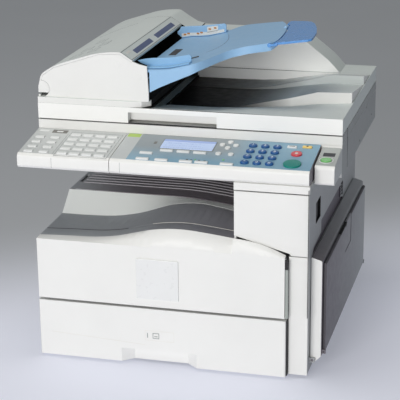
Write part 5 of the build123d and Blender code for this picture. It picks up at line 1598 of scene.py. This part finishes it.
@dataclass
class Panels:
    """Left keypad, main panel and the small reader module, with their keys and printed marks."""

    plane: Plane = Plane(Vector((0, 0, 331.3)), Vector((1, 0, 0)), Vector((0, 1, 0.14)))
    module_plane: Plane = Plane(Vector((0, 0, 328.0)), Vector((1, 0, 0)), Vector((0, 1, 0.14)))
    lip_plane: Plane = Plane(Vector((0, -95, 0)), Vector((1, 0, 0)), Vector((0, 0, 1)))
    key_rise: float = 1.4
    print_lift: float = 0.12
    digit_size: float = 7.4
    number_first: Point2 = (339.8, -19.4)
    number_pitch: Point2 = (18.1, 19.4)
    digits: Sequence[str] = ("1", "2", "3", "4", "5", "6", "7", "8", "9", "*", "0", "#")
    screen: tuple[Span, Span] = ((205.0, 284.0), (-45.4, -14.0))
    screen_frame: tuple[Span, Span] = ((203.4, 285.6), (-47.0, -12.4))
    caps: Sequence[tuple[str, str, Shade]] = (
        ("quick_dial_keys", "key_white", Shade.CAP_WHITE), ("panel_keys", "key_white", Shade.CAP_WHITE),
        ("number_keys", "key_blue", Shade.CAP_BLUE), ("clear_key", "key_white", Shade.CAP_WHITE),
        ("energy_key", "key_yellow", Shade.CAP_YELLOW), ("stop_key", "key_red", Shade.CAP_RED),
        ("start_key", "key_teal", Shade.CAP_TEAL), ("module_key", "key_green", Shade.CAP_GREEN),
    )
    dashes: Outline = (
        (184, -60.5), (184, -81), (212, -81), (212, -48.3), (237, -48.3), (262, -48.3), (249, -81),
        (272, -81), (309.6, -81), (391, -9.3), (413, -6.4), (402, -27), (400, -57.2),
    )
    signs: Outline = ((253.8, -79.6), (260.0, -80.4), (271.9, -80.4), (280.2, -80.8))
    lamps: Sequence[tuple[Point2, float]] = (((267.2, -77.6), 1.3), ((307.7, -72.2), 1.9))

    def build(self, bench: Bench) -> None:
        """Makes boards, keys and marks.

        Args:
            bench: the shared modelling steps.
        """
        self.boards(bench)
        self.keys(bench)
        self.digits_and_signs(bench)
        self.prints(bench)
        self.module_marks(bench)

    def boards(self, bench: Bench) -> None:
        """Dresses the three boards and the screen.

        Args:
            bench: the shared modelling steps.
        """
        lip = ((Shade.IVORY, lambda place, normal: normal.z < 0.85),)
        # painted shade: the main panel's right end is painted dark and the reader module's right side grey
        end = ((Shade.DOOR, lambda place, normal: normal.x > 0.8 and place.x > 430),)
        side = ((Shade.KEYPAD, lambda place, normal: normal.x > 0.8),)
        for node, slot, shade, paints in (
            ("control_panel", "panel_blue", Shade.PANEL, lip + end),
            ("keypad_module", "keypad_grey", Shade.KEYPAD, lip),
            ("key_module", "keypad_grey", Shade.MODULE, lip + side),
        ):
            bench.soft_copy(node, "base", shade, 1.6, 35, paints, self.front_edge)
        bench.lay_marks(
            "screen_window", self.plane, [bar(*self.screen, 1.2)], 0.7, "base", Shade.SCREEN,
            0.9, 0.3, ["display"],
        )
        bench.lay_marks(
            "screen_rim", self.plane, frame_bars(*self.screen_frame, 1.4), 0.3, "base",
            Shade.PRINT_GREY, rounding=0.15,
        )

    def front_edge(self, middle: Vector, run: Vector, length: float) -> bool:
        """Picks the panels' outer edges at the front and the ends."""
        return length > 18 and (middle.y < -60 or abs(run.y) > 0.9)

    def keys(self, bench: Bench) -> None:
        """Softens all the key caps; the number keys are domed.

        Args:
            bench: the shared modelling steps.
        """
        for node, slot, shade in self.caps:
            lift, width = (1.7, 1.9) if node == "number_keys" else (0.8, 0.7)
            cap = bench.copy_of(node, node + "_skin")
            base = self.module_plane if node == "module_key" else self.plane
            bench.raise_tops(cap, base, 1.0, lift)
            bench.bevel(cap, width, 4 if width > 1 else 2, self.cap_edge)
            bench.finish_copy(cap, node, node, shade, 50)

    def cap_edge(self, middle: Vector, run: Vector, length: float) -> bool:
        """Picks the rims on top of the caps."""
        base = self.module_plane if middle.x > 438.5 else self.plane
        return middle.z > base.at(0, middle.y).z + 1.0

    def digits_and_signs(self, bench: Bench) -> None:
        """Adds the digits and the signs of the stop, clear and energy keys.

        Args:
            bench: the shared modelling steps.
        """
        for number, text in enumerate(self.digits):
            row, column = divmod(number, 3)
            place = (self.number_first[0] + self.number_pitch[0] * column,
                     self.number_first[1] - self.number_pitch[1] * row)
            mark = bench.lettering(
                f"digit_{number}", text, self.plane, place, self.digit_size, self.key_rise + 1.82
            )
            bench.hand_over(mark, "number_keys", Shade.DIGIT)
        for name, outline, body, shade in (
            ("stop_sign", ring((408.0, -38.4), 2.6, 6), "stop_key", Shade.PRINT_WHITE),
            ("clear_sign", bar((392.5, 401.5), (-16.2, -15.0)), "clear_key", Shade.PRINT_DARK),
            ("energy_sign", ring((419.0, -12.6), 1.6, 12), "energy_key", Shade.PRINT_DARK),
        ):
            bench.lay_marks(
                name, self.plane, [outline], self.key_rise + 0.92, body, shade, 0.3
            )

    def fine_lines(self) -> list[list[Point2]]:
        """Outlines of the boards' thin printed lines.

        Returns:
            One outline for each line.
        """
        lines = [bar((53.0, 53.5), (-90.0, -17.0))] + frame_bars((56.5, 137.5), (-94.0, -9.0), 0.45)
        for row in range(5):
            drop = (-16.1 - 16.6 * row, -15.5 - 16.6 * row)
            lines += [bar((61.0 + 19.2 * k, 73.8 + 19.2 * k), drop) for k in range(4)]
        for row in range(4):
            lines += [bar((x, x + 10), (-29.9 - 17.2 * row, -29.3 - 17.2 * row)) for x in (9.6, 33.4)]
        return lines + [bar((x, x + 12), (y, y + 0.6)) for x, y in self.dashes]

    def prints(self, bench: Bench) -> None:
        """Adds the printed fields and lines of the boards and their two small lamps.

        Args:
            bench: the shared modelling steps.
        """
        low = self.print_lift
        dark = [bar((26.0, 50.0), (-15.5, -4.5), 0.8), bar((191.5, 196.0), (-32.0, -24.0), 0.5)]
        pale = [bar((33.0, 43.0), (-12.0, -8.0), 0.5), bar((5.0, 20.0), (-11.5, -6.0), 0.5)]
        green = [bar((145.0, 165.0), (-12.5, -1.0), 0.8)]
        seams = [bar((x, x + 0.45), (299.0, 314.0)) for x in (53.0, 158.0)]
        signs = [bar((x, x + 3.2), (y, y + 2.6), 0.6) for x, y in self.signs]
        for name, plane, outlines, lift, shade in (
            ("panel_dark_fields", self.plane, dark, low, Shade.LABEL),
            ("panel_pale_fields", self.plane, pale, low + 0.05, Shade.CAP_WHITE),
            ("panel_green_field", self.plane, green, low, Shade.PRINT_GREEN),
            ("panel_lines", self.plane, self.fine_lines(), low, Shade.PRINT_GREY),
            ("lip_seams", self.lip_plane, seams, 0.06, Shade.PRINT_GREY),
            ("panel_signs", self.plane, signs, low, Shade.PRINT_DARK),
        ):
            bench.lay_marks(name, plane, outlines, lift, "base", shade)
        lamps = [ring(place, radius, 12) for place, radius in self.lamps]
        bench.lay_marks("panel_lamps", self.plane, lamps, 0.5, "base", Shade.CAP_GREEN, 0.8)

    def module_marks(self, bench: Bench) -> None:
        """Adds the collar round the reader module's key and the module's dark field.

        Args:
            bench: the shared modelling steps.
        """
        low, high = (bench.datum.back(corner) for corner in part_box("module_key"))
        centre, radius = ((low.x + high.x) / 2, (low.y + high.y) / 2), (high.x - low.x) / 2
        collar = bench.tiles("key_collar", self.module_plane, [ring(centre, radius + 1.5, 40)], 0.7, 1.1)
        ends = tuple(self.module_plane.at(*centre, lift) for lift in (-3.0, 3.0))
        bench.carve(collar, bench.rod("collar_bore", ends, radius + 0.3, 40))
        bench.bevel_all(collar, 0.2)
        bench.smooth(collar, 40)
        bench.hand_over(collar, "base", Shade.CAP_WHITE)
        dark = [bar((444.5, 462.0), (-31.0, -19.0), 0.8)]
        bench.lay_marks(
            "module_field", self.module_plane, dark, self.print_lift, "base", Shade.PRINT_DARK
        )


@dataclass
class Lid:
    """Lid with its handle recess, the stepped exit tray, the pad and the seal below it."""

    size: Point2 = (468.0, 346.0)
    seal_inset: float = 1.4
    seal_width: float = 3.0
    seal_z: Span = (345.5, 347.1)
    exit_x: Span = (177.0, 463.5)
    exit_y: Span = (95.2, 283.5)
    exit_floor: float = 352.0
    far_step: float = 214.0
    steps: Sequence[float] = (96.0, 215.0)

    def build(self, bench: Bench) -> None:
        """Dresses the lid's shell and pad and lays the seal.

        Args:
            bench: the shared modelling steps.
        """
        # painted light on the lid: tops and right side grey as painted shade, the front whiter as painted
        # highlight, the exit tray darkening towards the feeder as painted shadow
        tops = (
            (Shade.STONE, lambda place, normal: normal.z > 0.85 and place.z > 350),
            (Shade.STONE, lambda place, normal: normal.x > 0.8 and place.x > 467),
            (Shade.SNOW, lambda place, normal: normal.y < -0.5 and place.y < 3),
            (Shade.FADE, lambda place, normal: self.in_exit(place) and normal.z > 0.85),
            (Shade.FADE_RISER, lambda place, normal: self.in_exit(place) and -0.3 < normal.z <= 0.85),
            (Shade.FADE_FAR, self.in_far_exit),
            (Shade.IVORY, lambda place, normal: place.y > 279 and abs(normal.z) < 0.5 and place.z < 372),
        )
        shell = bench.copy_of("lid_shell", "lid_shell_skin")
        bench.bevel(shell, 1.0, 2, self.rim_edge)
        bench.bevel(shell, 2.2, 3, self.step_edge, 20)
        bench.finish_copy(shell, "lid_shell", "lid", Shade.IVORY, 40, tops)
        bench.soft_copy("platen_pad", "lid", Shade.FOAM, 1.0, 30)
        self.seal(bench)

    def seal(self, bench: Bench) -> None:
        """Lays a dark seal under the lid's rim, which closes the gap to the scanner's frame.

        Args:
            bench: the shared modelling steps.
        """
        low, high = self.seal_inset, self.seal_inset + self.seal_width
        right, back = self.size
        spans = (
            ((low, right - low), (low, high)),
            ((low, high), (high + 0.1, back - high)),
            ((right - high, right - low), (high + 0.1, back - high)),
        )
        strips = [bench.block(f"lid_seal_{number}", x, y, self.seal_z) for number, (x, y) in enumerate(spans)]
        seal = bench.join(strips, "lid_seal")
        bench.bevel_all(seal, 0.2)
        bench.hand_over(seal, "lid", Shade.RUBBER)

    def in_exit(self, place: Vector) -> bool:
        """Whether a place is in the exit tray behind its first step."""
        inside = self.exit_x[0] < place.x < self.exit_x[1] and self.exit_y[0] < place.y < self.exit_y[1]
        return inside and place.z > self.exit_floor

    def in_far_exit(self, place: Vector, normal: Vector) -> bool:
        """Faces of the exit tray from its second step on."""
        return self.in_exit(place) and place.y > self.far_step and normal.z > -0.3

    def step_edge(self, middle: Vector, run: Vector, length: float) -> bool:
        """Picks the upper edges of the two steps in the exit tray."""
        on_step = any(abs(middle.y - y) < 0.1 for y in self.steps)
        return on_step and abs(run.x) > 0.7 and 250 < middle.x < 463 and middle.z > 353.4

    def rim_edge(self, middle: Vector, run: Vector, length: float) -> bool:
        """Picks the shell's long outer edges."""
        outer = middle.x < 3 or middle.x > 465 or middle.y < 3 or middle.y > 343
        return outer and length > 30 and middle.z > 346


@dataclass
class Feeder:
    """Sheet feeder: body, swing-up cover with its edge strip, and the rear arm housing."""

    strip: Plane = Plane(Vector((131.6, 0, 453.7)), Vector((0.84, 0, -0.5423)), Vector((0, 1, 0)))
    slope: Plane = Plane(Vector((24.0, 0, 428.0)), Vector((1, 0, 0.3197)), Vector((0, 1, 0)))
    bars_at: Sequence[Span] = ((43.0, 131.0), (156.0, 256.0))
    ridges: Sequence[tuple[Point2, float]] = (
        ((4.9, 414.0), 5.0), ((24.0, 428.0), 15.0), ((99.7, 452.2), 18.0), ((131.6, 453.7), 4.0),
    )
    arc: Outline = ((12.0, 196.0), (24.0, 216.0), (38.0, 229.0), (52.0, 236.5), (64.0, 239.5))
    sheets: Sequence[tuple[Span, Span]] = (
        ((20.0, 34.0), (24.0, 52.0)), ((24.0, 38.0), (66.0, 94.0)), ((44.0, 58.0), (38.0, 66.0)),
        ((48.0, 62.0), (80.0, 108.0)), ((30.0, 44.0), (120.0, 148.0)),
    )
    caps: Sequence[tuple[Point2, float]] = (((160.0, 417.0), 4.2), ((127.0, 435.0), 4.6))
    cap_y: Span = (4.7, 6.0)
    mouth_shadow_sheet: Box = ((108.6, 174.2), (8.9, 280.8), (379.9, 380.4))

    def build(self, bench: Bench) -> None:
        """Dresses the three shells and adds the strip's marks.

        Args:
            bench: the shared modelling steps.
        """
        self.body(bench)
        self.cover(bench)
        # the arm's tops and right side are painted grey as painted shade, its front whiter as painted
        # highlight
        arm = (
            (Shade.STONE, lambda place, normal: normal.z > 0.3 or normal.x > 0.3),
            (Shade.SNOW, lambda place, normal: normal.y < -0.5),
        )
        bench.soft_copy("arm_housing", "lid", Shade.IVORY, 1.0, 40, arm, longer_than(5))
        self.strip_marks(bench)

    def body(self, bench: Bench) -> None:
        """Makes the body with its rounded back, the mouth painted near-black as painted shadow, and the two
        pivot caps; tops are painted grey as painted shade, the flange's front whiter as painted highlight.

        Args:
            bench: the shared modelling steps.
        """
        piece = bench.copy_of("feeder_base", "feeder_base_skin")
        for ridge, width in self.ridges:
            bench.bevel(piece, width, 6, self.on_ridge(ridge, 281.0), 8.0)
        bench.bevel(piece, 6.0, 5, self.flange_corner, 10.0)
        bench.bevel(piece, 1.2, 2, self.front_edge)
        paints = (
            (Shade.SNOW, lambda place, normal: normal.y < -0.5 and place.x > 160 and place.z < 380),
            (Shade.STONE, lambda place, normal: normal.z > 0.3),
            (Shade.SHADOW, self.in_mouth),
        )
        bench.finish_copy(piece, "feeder_base", "lid", Shade.IVORY, 40, paints)
        made = []
        for number, ((x, z), radius) in enumerate(self.caps):
            cap = bench.rod(f"pivot_cap_{number}", tuple(Vector((x, y, z)) for y in self.cap_y), radius, 32)
            bench.bevel_all(cap, 0.25)
            made.append(cap)
        bench.hand_over(bench.join(made, "pivot_caps"), "lid", Shade.IVORY)
        # near-black sheet on the mouth's floor: painted shadow
        floor = bench.block("mouth_shadow_sheet", *self.mouth_shadow_sheet)
        bench.hand_over(floor, "lid", Shade.SHADOW)

    def in_mouth(self, place: Vector, normal: Vector) -> bool:
        """Faces inside the feeder, behind its front wall, painted near-black as painted shadow."""
        inside = 7.9 < place.y < 282.5 and 38 < place.x and place.z > 379
        return inside and (place.x < 171 or (place.x < 175.5 and place.z < 432 and abs(normal.z) < 0.9))

    def cover(self, bench: Bench) -> None:
        """Makes the cover with its rounded back and pale front edge; the rest of its top is painted grey as
        painted shade.

        Args:
            bench: the shared modelling steps.
        """
        piece = bench.copy_of("feed_cover", "feed_cover_skin")
        for ridge, width in self.ridges:
            bench.bevel(piece, width, 6, self.on_ridge(ridge, -1.0), 8.0)
        paints = (
            (Shade.IVORY, lambda place, normal: normal.y < -0.5),
            (Shade.INNER, lambda place, normal: normal.z < -0.2 and place.x > 3),
        )
        bench.finish_copy(piece, "feed_cover", "feed_cover", Shade.STONE, 40, paints)
        fine = smoothed(self.arc, 5)
        line = [(x, y - 0.35) for x, y in fine] + [(x, y + 0.35) for x, y in reversed(fine)]
        bench.lay_marks(
            "cover_arc", self.slope, [line], 0.15, "feed_cover", Shade.PRINT_GREY
        )

    def on_ridge(self, ridge: Point2, back: float) -> EdgeTest:
        """Test that picks the edges along one outer ridge.

        Args:
            ridge: the ridge's place on x and z.
            back: only edges behind this place on y are picked.

        Returns:
            The test.
        """
        return lambda middle, run, length: (
            abs(run.y) > 0.99 and middle.y > back
            and math.hypot(middle.x - ridge[0], middle.z - ridge[1]) < 0.6
        )

    def flange_corner(self, middle: Vector, run: Vector, length: float) -> bool:
        """Picks the upright edges of the flange's cut corner."""
        return abs(run.z) > 0.9 and middle.z < 380 and middle.x > 158 and middle.y < 30

    def front_edge(self, middle: Vector, run: Vector, length: float) -> bool:
        """Picks the rim round the feeder's front face and its flange."""
        return length > 4 and (middle.y < 9 or middle.x < 2)

    def strip_marks(self, bench: Bench) -> None:
        """Adds the bars, field and seams on the cover's free edge and the sheet outlines on its slope.

        Args:
            bench: the shared modelling steps.
        """
        blue = [bar((9.0, 17.5), span, 0.6) for span in self.bars_at]
        white = [bar((5.5, 9.5), (18.0, 34.0), 0.5)]
        edges = [bar((0.6, 1.3), (6.0, 280.0)), bar((20.4, 21.6), (6.0, 280.0)), bar((1.3, 20.4), (6.0, 7.6))]
        outlines = [side for sheet in self.sheets for side in frame_bars(*sheet, 0.5)]
        for u, span in self.sheets:
            outlines += [bar((u[0] + 3, u[1] - 3), (v, v + 0.5)) for v in (span[0] + 9, span[0] + 18)]
        for name, plane, marks, lift, shade in (
            ("strip_bars", self.strip, blue, 0.3, Shade.PRINT_NAVY),
            ("strip_field", self.strip, white, 0.3, Shade.PRINT_WHITE),
            ("strip_seams", self.strip, edges, 0.12, Shade.PRINT_GREY),
            ("sheet_signs", self.slope, outlines, 0.12, Shade.PRINT_GREY),
        ):
            bench.lay_marks(name, plane, marks, lift, "feed_cover", shade)


@dataclass
class DocumentTray:
    """Blue document tray with its guides and the folding extension."""

    guide_face: Plane = Plane(Vector((0, 245, 0)), Vector((1, 0, 0)), Vector((0, 0, 1)))
    front_wall: Outline = (
        (152.0, 437.4), (157.0, 434.0), (164.0, 431.4), (176.5, 429.2), (191.0, 430.0), (208.0, 431.9),
        (235.8, 438.6), (235.8, 446.6), (232.8, 450.2), (208.0, 445.0), (191.0, 443.2), (176.5, 442.2),
        (164.6, 440.6),
    )
    rear_wall: Outline = (
        (162.0, 425.8), (176.5, 429.2), (191.0, 430.0), (208.0, 431.9), (235.8, 438.6), (235.8, 450.8),
        (232.8, 453.0), (208.0, 449.4), (191.0, 447.4), (176.5, 446.4), (159.5, 444.6), (157.6, 440.0),
        (153.5, 436.5), (153.5, 432.5),
    )
    foot: Outline = (
        (164.0, 426.3), (176.5, 429.2), (191.0, 430.0), (208.0, 431.9), (235.6, 438.5), (235.6, 440.4),
        (208.0, 433.8), (191.0, 432.0), (176.5, 431.2), (164.0, 428.2),
    )
    label: Sequence[Outline] = (
        ((160.6, 427.6), (176.5, 430.6), (191.0, 431.4), (208.0, 433.4), (232.4, 439.2), (232.4, 444.0),
         (208.0, 438.6), (191.0, 436.6), (176.5, 435.6), (160.6, 433.4)),
        ((204.0, 437.0), (222.0, 441.2), (222.0, 449.2), (204.0, 446.4)),
    )
    spots: Outline = (
        (164.0, 430.8), (170.0, 432.8), (186.0, 433.4), (192.0, 435.2), (206.0, 441.6), (215.0, 443.8),
    )
    peg: tuple[Vector, Vector] = (Vector((234.8, 27.4, 444.2)), Vector((246.8, 27.4, 447.8)))
    peg_radius: float = 0.9
    near_slope: Plane = Plane(Vector((176.5, 0, 428.8)), Vector((1, 0, 0.0552)), Vector((0, 1, 0)))
    far_slope: Plane = Plane(Vector((240.0, 0, 439.5)), Vector((1, 0, 0.25)), Vector((0, 1, 0)))
    arc: Outline = (
        (2.0, 90.0), (8.0, 98.0), (14.0, 110.0), (18.0, 126.0), (19.0, 146.0), (17.0, 172.0),
        (11.0, 200.0), (6.0, 218.0),
    )

    def build(self, bench: Bench) -> None:
        """Dresses the tray's parts and adds the marks.

        Args:
            bench: the shared modelling steps.
        """
        bench.soft_copy("document_tray", "document_tray", Shade.BLUE, 0.0, 40)
        self.guides(bench)
        bench.soft_copy(
            "tray_extension", "tray_extension", Shade.DEEP_BLUE, 0.5, 30,
            edges=longer_than(4),
        )
        self.marks(bench)

    def guides(self, bench: Bench) -> None:
        """Makes the two guides: a wall with a tapered nose on the foot that slides on the tray.

        Args:
            bench: the shared modelling steps.
        """
        for name, outline, wall, foot, shade in (
            ("front_guide", self.front_wall, (26.0, 29.0), (13.0, 27.0), Shade.PALE_BLUE),
            ("rear_guide", self.rear_wall, (245.0, 248.0), (247.0, 261.0), Shade.BLUE),
        ):
            made = bench.plate_y(f"{name}_wall", outline, wall)
            base = bench.plate_y(f"{name}_foot", self.foot, foot)
            piece = bench.join([made, base], f"{name}_skin")
            bench.bevel(piece, 0.8, 3, longer_than(3))
            bench.smooth(piece, 40)
            bench.hand_over(piece, name, shade, [name])
        peg = bench.rod("guide_peg", self.peg, self.peg_radius, 16)
        bench.bevel_all(peg, 0.25)
        bench.hand_over(peg, "front_guide", Shade.INNER)

    def marks(self, bench: Bench) -> None:
        """Adds the dark field and curved line on the tray and the rear guide's label.

        Args:
            bench: the shared modelling steps.
        """
        dark = [bar((0.5, 12.5), (106.0, 150.0), 1.0)]
        fine = smoothed(self.arc, 5)
        line = [(x - 0.35, y) for x, y in fine] + [(x + 0.35, y) for x, y in reversed(fine)]
        orange = [bar((x, x + 4.6), (z, z + 2.8), 0.9) for x, z in self.spots]
        for name, plane, outlines, lift, body, shade in (
            ("tray_field", self.near_slope, dark, 0.15, "document_tray", Shade.INNER),
            ("tray_curve", self.far_slope, [line], 0.12, "document_tray", Shade.PRINT_NAVY),
            ("guide_label", self.guide_face, self.label, 0.12, "rear_guide", Shade.PRINT_WHITE),
            ("guide_marks", self.guide_face, orange, 0.2, "rear_guide", Shade.PRINT_ORANGE),
        ):
            bench.lay_marks(name, plane, outlines, lift, body, shade)


@dataclass
class RightSide:
    """Right casing with its window and louvres, the side door and the bypass tray."""

    door: Plane = Plane(Vector((455, 0, 0)), Vector((0, 1, 0)), Vector((0, 0, 1)))
    cover: Plane = Plane(Vector((437.5, 0, 0)), Vector((0, 1, 0)), Vector((0, 0, 1)))
    recess: Outline = (
        (-62.0, 184.0), (206.0, 184.0), (206.0, 186.0), (184.0, 192.0), (184.0, 212.6), (8.5, 212.6),
        (8.5, 193.9), (-52.0, 191.3),
    )
    recess_x: Span = (435.4, 439.0)
    grip_outline: Outline = (
        (104.0, 127.0), (161.0, 127.0), (161.0, 174.0), (118.0, 174.0), (116.7, 172.6), (106.0, 164.0),
        (104.0, 164.0),
    )
    grip_x: Span = (456.2, 459.1)
    grip_shadow: Outline = (
        (60.0, 173.9), (64.0, 169.0), (78.0, 165.0), (98.0, 166.0), (113.0, 171.0), (117.0, 173.9),
    )
    shadow_x: Span = (459.25, 459.68)
    grip_top_shadow: Box = ((456.0, 459.68), (60.0, 117.0), (173.8, 174.3))
    window_back: Box = ((433.0, 434.0), (-42, 4), (218, 258))
    louvre_back: Box = ((433.0, 434.0), (182, 210), (190, 217))

    def build(self, bench: Bench) -> None:
        """Dresses the casing, the door and the tray.

        Args:
            bench: the shared modelling steps.
        """
        cover = bench.copy_of("right_cover", "right_cover_skin")
        bench.bevel(cover, 0.5, 2, longer_than(60))
        bench.carve(cover, bench.plate_x("cover_recess", self.recess, self.recess_x))
        # the right casing is painted grey as painted shade, its recess dark, and the walls of the window and
        # louvres black as painted shade
        paints = ((Shade.RECESS, self.in_recess), (Shade.BLACK, self.in_opening))
        bench.finish_copy(cover, "right_cover", "base", Shade.SIDE, 30, paints)
        # black wedges on the louvres: painted shade inside them
        bench.lay_marks(
            "louvre_teeth", self.cover, self.louvre_teeth(), 0.3, "base", Shade.BLACK, 0.6
        )
        # the door's outside and top get painted shade, darker towards the front
        door_shades = ((Shade.DOOR_FACE, self.in_door_shade), (Shade.DOOR_TOP, self.is_top))
        bench.soft_copy(
            "side_door", "side_door", Shade.IVORY, 1.0, 30, door_shades, longer_than(60)
        )
        # the bypass tray gets the door's painted shade, and its edges a darker painted shade
        edge = ((Shade.EDGE, lambda place, normal: normal.x < 0.9),)
        bench.soft_copy(
            "bypass_tray", "bypass_tray", Shade.DOOR_FACE, 0.8, 30, edge, longer_than(60)
        )
        self.grip(bench)
        # black blocks behind the window and the louvres: painted shade inside the openings
        backs = [bench.block("window_back", *self.window_back), bench.block("louvre_back", *self.louvre_back)]
        bench.hand_over(bench.join(backs, "opening_shadow_backs"), "base", Shade.BLACK)
        gap = [bar((-99.0, -95.4), (98.0, 292.0))]
        bench.lay_marks("side_gap", self.cover, gap, 0.12, "base", Shade.BLACK)
        catch = [bar((110.0, 142.0), (158.0, 175.0), 6.0)]
        bench.lay_marks(
            "door_catch", self.door, catch, 0.5, "side_door", Shade.BLACK, 0.7, 0.2
        )

    def grip(self, bench: Bench) -> None:
        """Closes the tray's cut-out with a set-back plate, and adds a near-black painted shadow for the small
        finger grip.

        Args:
            bench: the shared modelling steps.
        """
        plate = bench.plate_x("grip_plate", self.grip_outline, self.grip_x)
        bench.bevel(plate, 0.4, 2, longer_than(10))
        bench.hand_over(plate, "bypass_tray", Shade.DOOR_FACE)
        shade = bench.plate_x("grip_face", self.grip_shadow, self.shadow_x)
        top = bench.block("grip_top_shadow", *self.grip_top_shadow)
        bench.hand_over(bench.join([shade, top], "grip_shadow"), "bypass_tray", Shade.SHADOW)

    def louvre_teeth(self) -> list[list[Point2]]:
        """Outlines of the four louvres, black wedges that narrow to the front and stand for the shade inside
        them.

        Returns:
            One outline for each louvre.
        """
        teeth = []
        for number in range(4):
            drop = 5.3 * number
            teeth.append([(188.7 - 2.1 * number, 212.4 - drop), (206.0, 206.0 - drop), (206.0, 211.2 - drop)])
        return teeth

    def in_recess(self, place: Vector, normal: Vector) -> bool:
        """Floor and walls of the recess above the door."""
        return 435.2 < place.x < 437.3 and -63 < place.y < 206.2 and 183 < place.z < 213

    def is_top(self, place: Vector, normal: Vector) -> bool:
        """Faces of the door's top."""
        return normal.z > 0.6 and place.z > 170

    def in_opening(self, place: Vector, normal: Vector) -> bool:
        """Whether a face is a wall of the window or of the louvres; these walls are painted black as painted
        shade.

        Args:
            place: the face's centre.
            normal: its normal.

        Returns:
            True for such a face.
        """
        window = -39 < place.y < 1 and 221 < place.z < 255
        louvres = 185 < place.y < 207 and 193 < place.z < 215
        return (window or louvres) and place.x < 437.3

    def in_door_shade(self, place: Vector, normal: Vector) -> bool:
        """Faces of the door's outside, its rounding and the lugs of the tray, which get the door's painted
        shade.
        """
        lugs = place.z < 26 and place.y < -70 and place.x > 437
        return (normal.x > 0.3 and place.x > 440) or place.x > 455.1 or lugs


@dataclass
class Inside:
    """Everything behind the covers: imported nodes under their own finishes."""

    shades: dict[str, Shade] = field(default_factory=lambda: {
        "frame_steel": Shade.ZINC, "bright_steel": Shade.STEEL, "dark_rubber": Shade.RUBBER,
        "black_plastic": Shade.BLACK, "board_green": Shade.BOARD, "inner_plastic": Shade.INNER,
        "drum_green": Shade.DRUM, "clear_glass": Shade.GLASS, "casing_white": Shade.IVORY,
    })

    def build(self, bench: Bench) -> None:
        """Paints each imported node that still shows.

        Args:
            bench: the shared modelling steps.
        """
        slots = {part["node"]: part["material_slot"] for part in bench.frame["record"]["subparts"]}
        for node, piece in bench.frame["nodes"].items():
            if piece.hide_render:
                continue
            bench.paint(piece, self.shades[slots[node]])
            log.info("node %s keeps its own mesh in %s", node, slots[node])


def main() -> None:
    """Builds every sub-assembly in order."""
    logging.basicConfig(level=logging.INFO, format="%(message)s")
    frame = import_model()
    datum = Datum(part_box("lid_shell")[0])
    bench = Bench(frame, datum, PaintShop(datum))
    bpy.context.scene.view_settings.view_transform = "Standard"
    Studio().build(bench)
    for assembly in (
        LowerFront(), OutputTray(), Scanner(), Panels(), Lid(), Feeder(), DocumentTray(), RightSide(),
        Inside(),
    ):
        log.info("building %s", type(assembly).__name__)
        assembly.build(bench)
    bench.clear_selection()


if __name__ == "__main__":
    main()
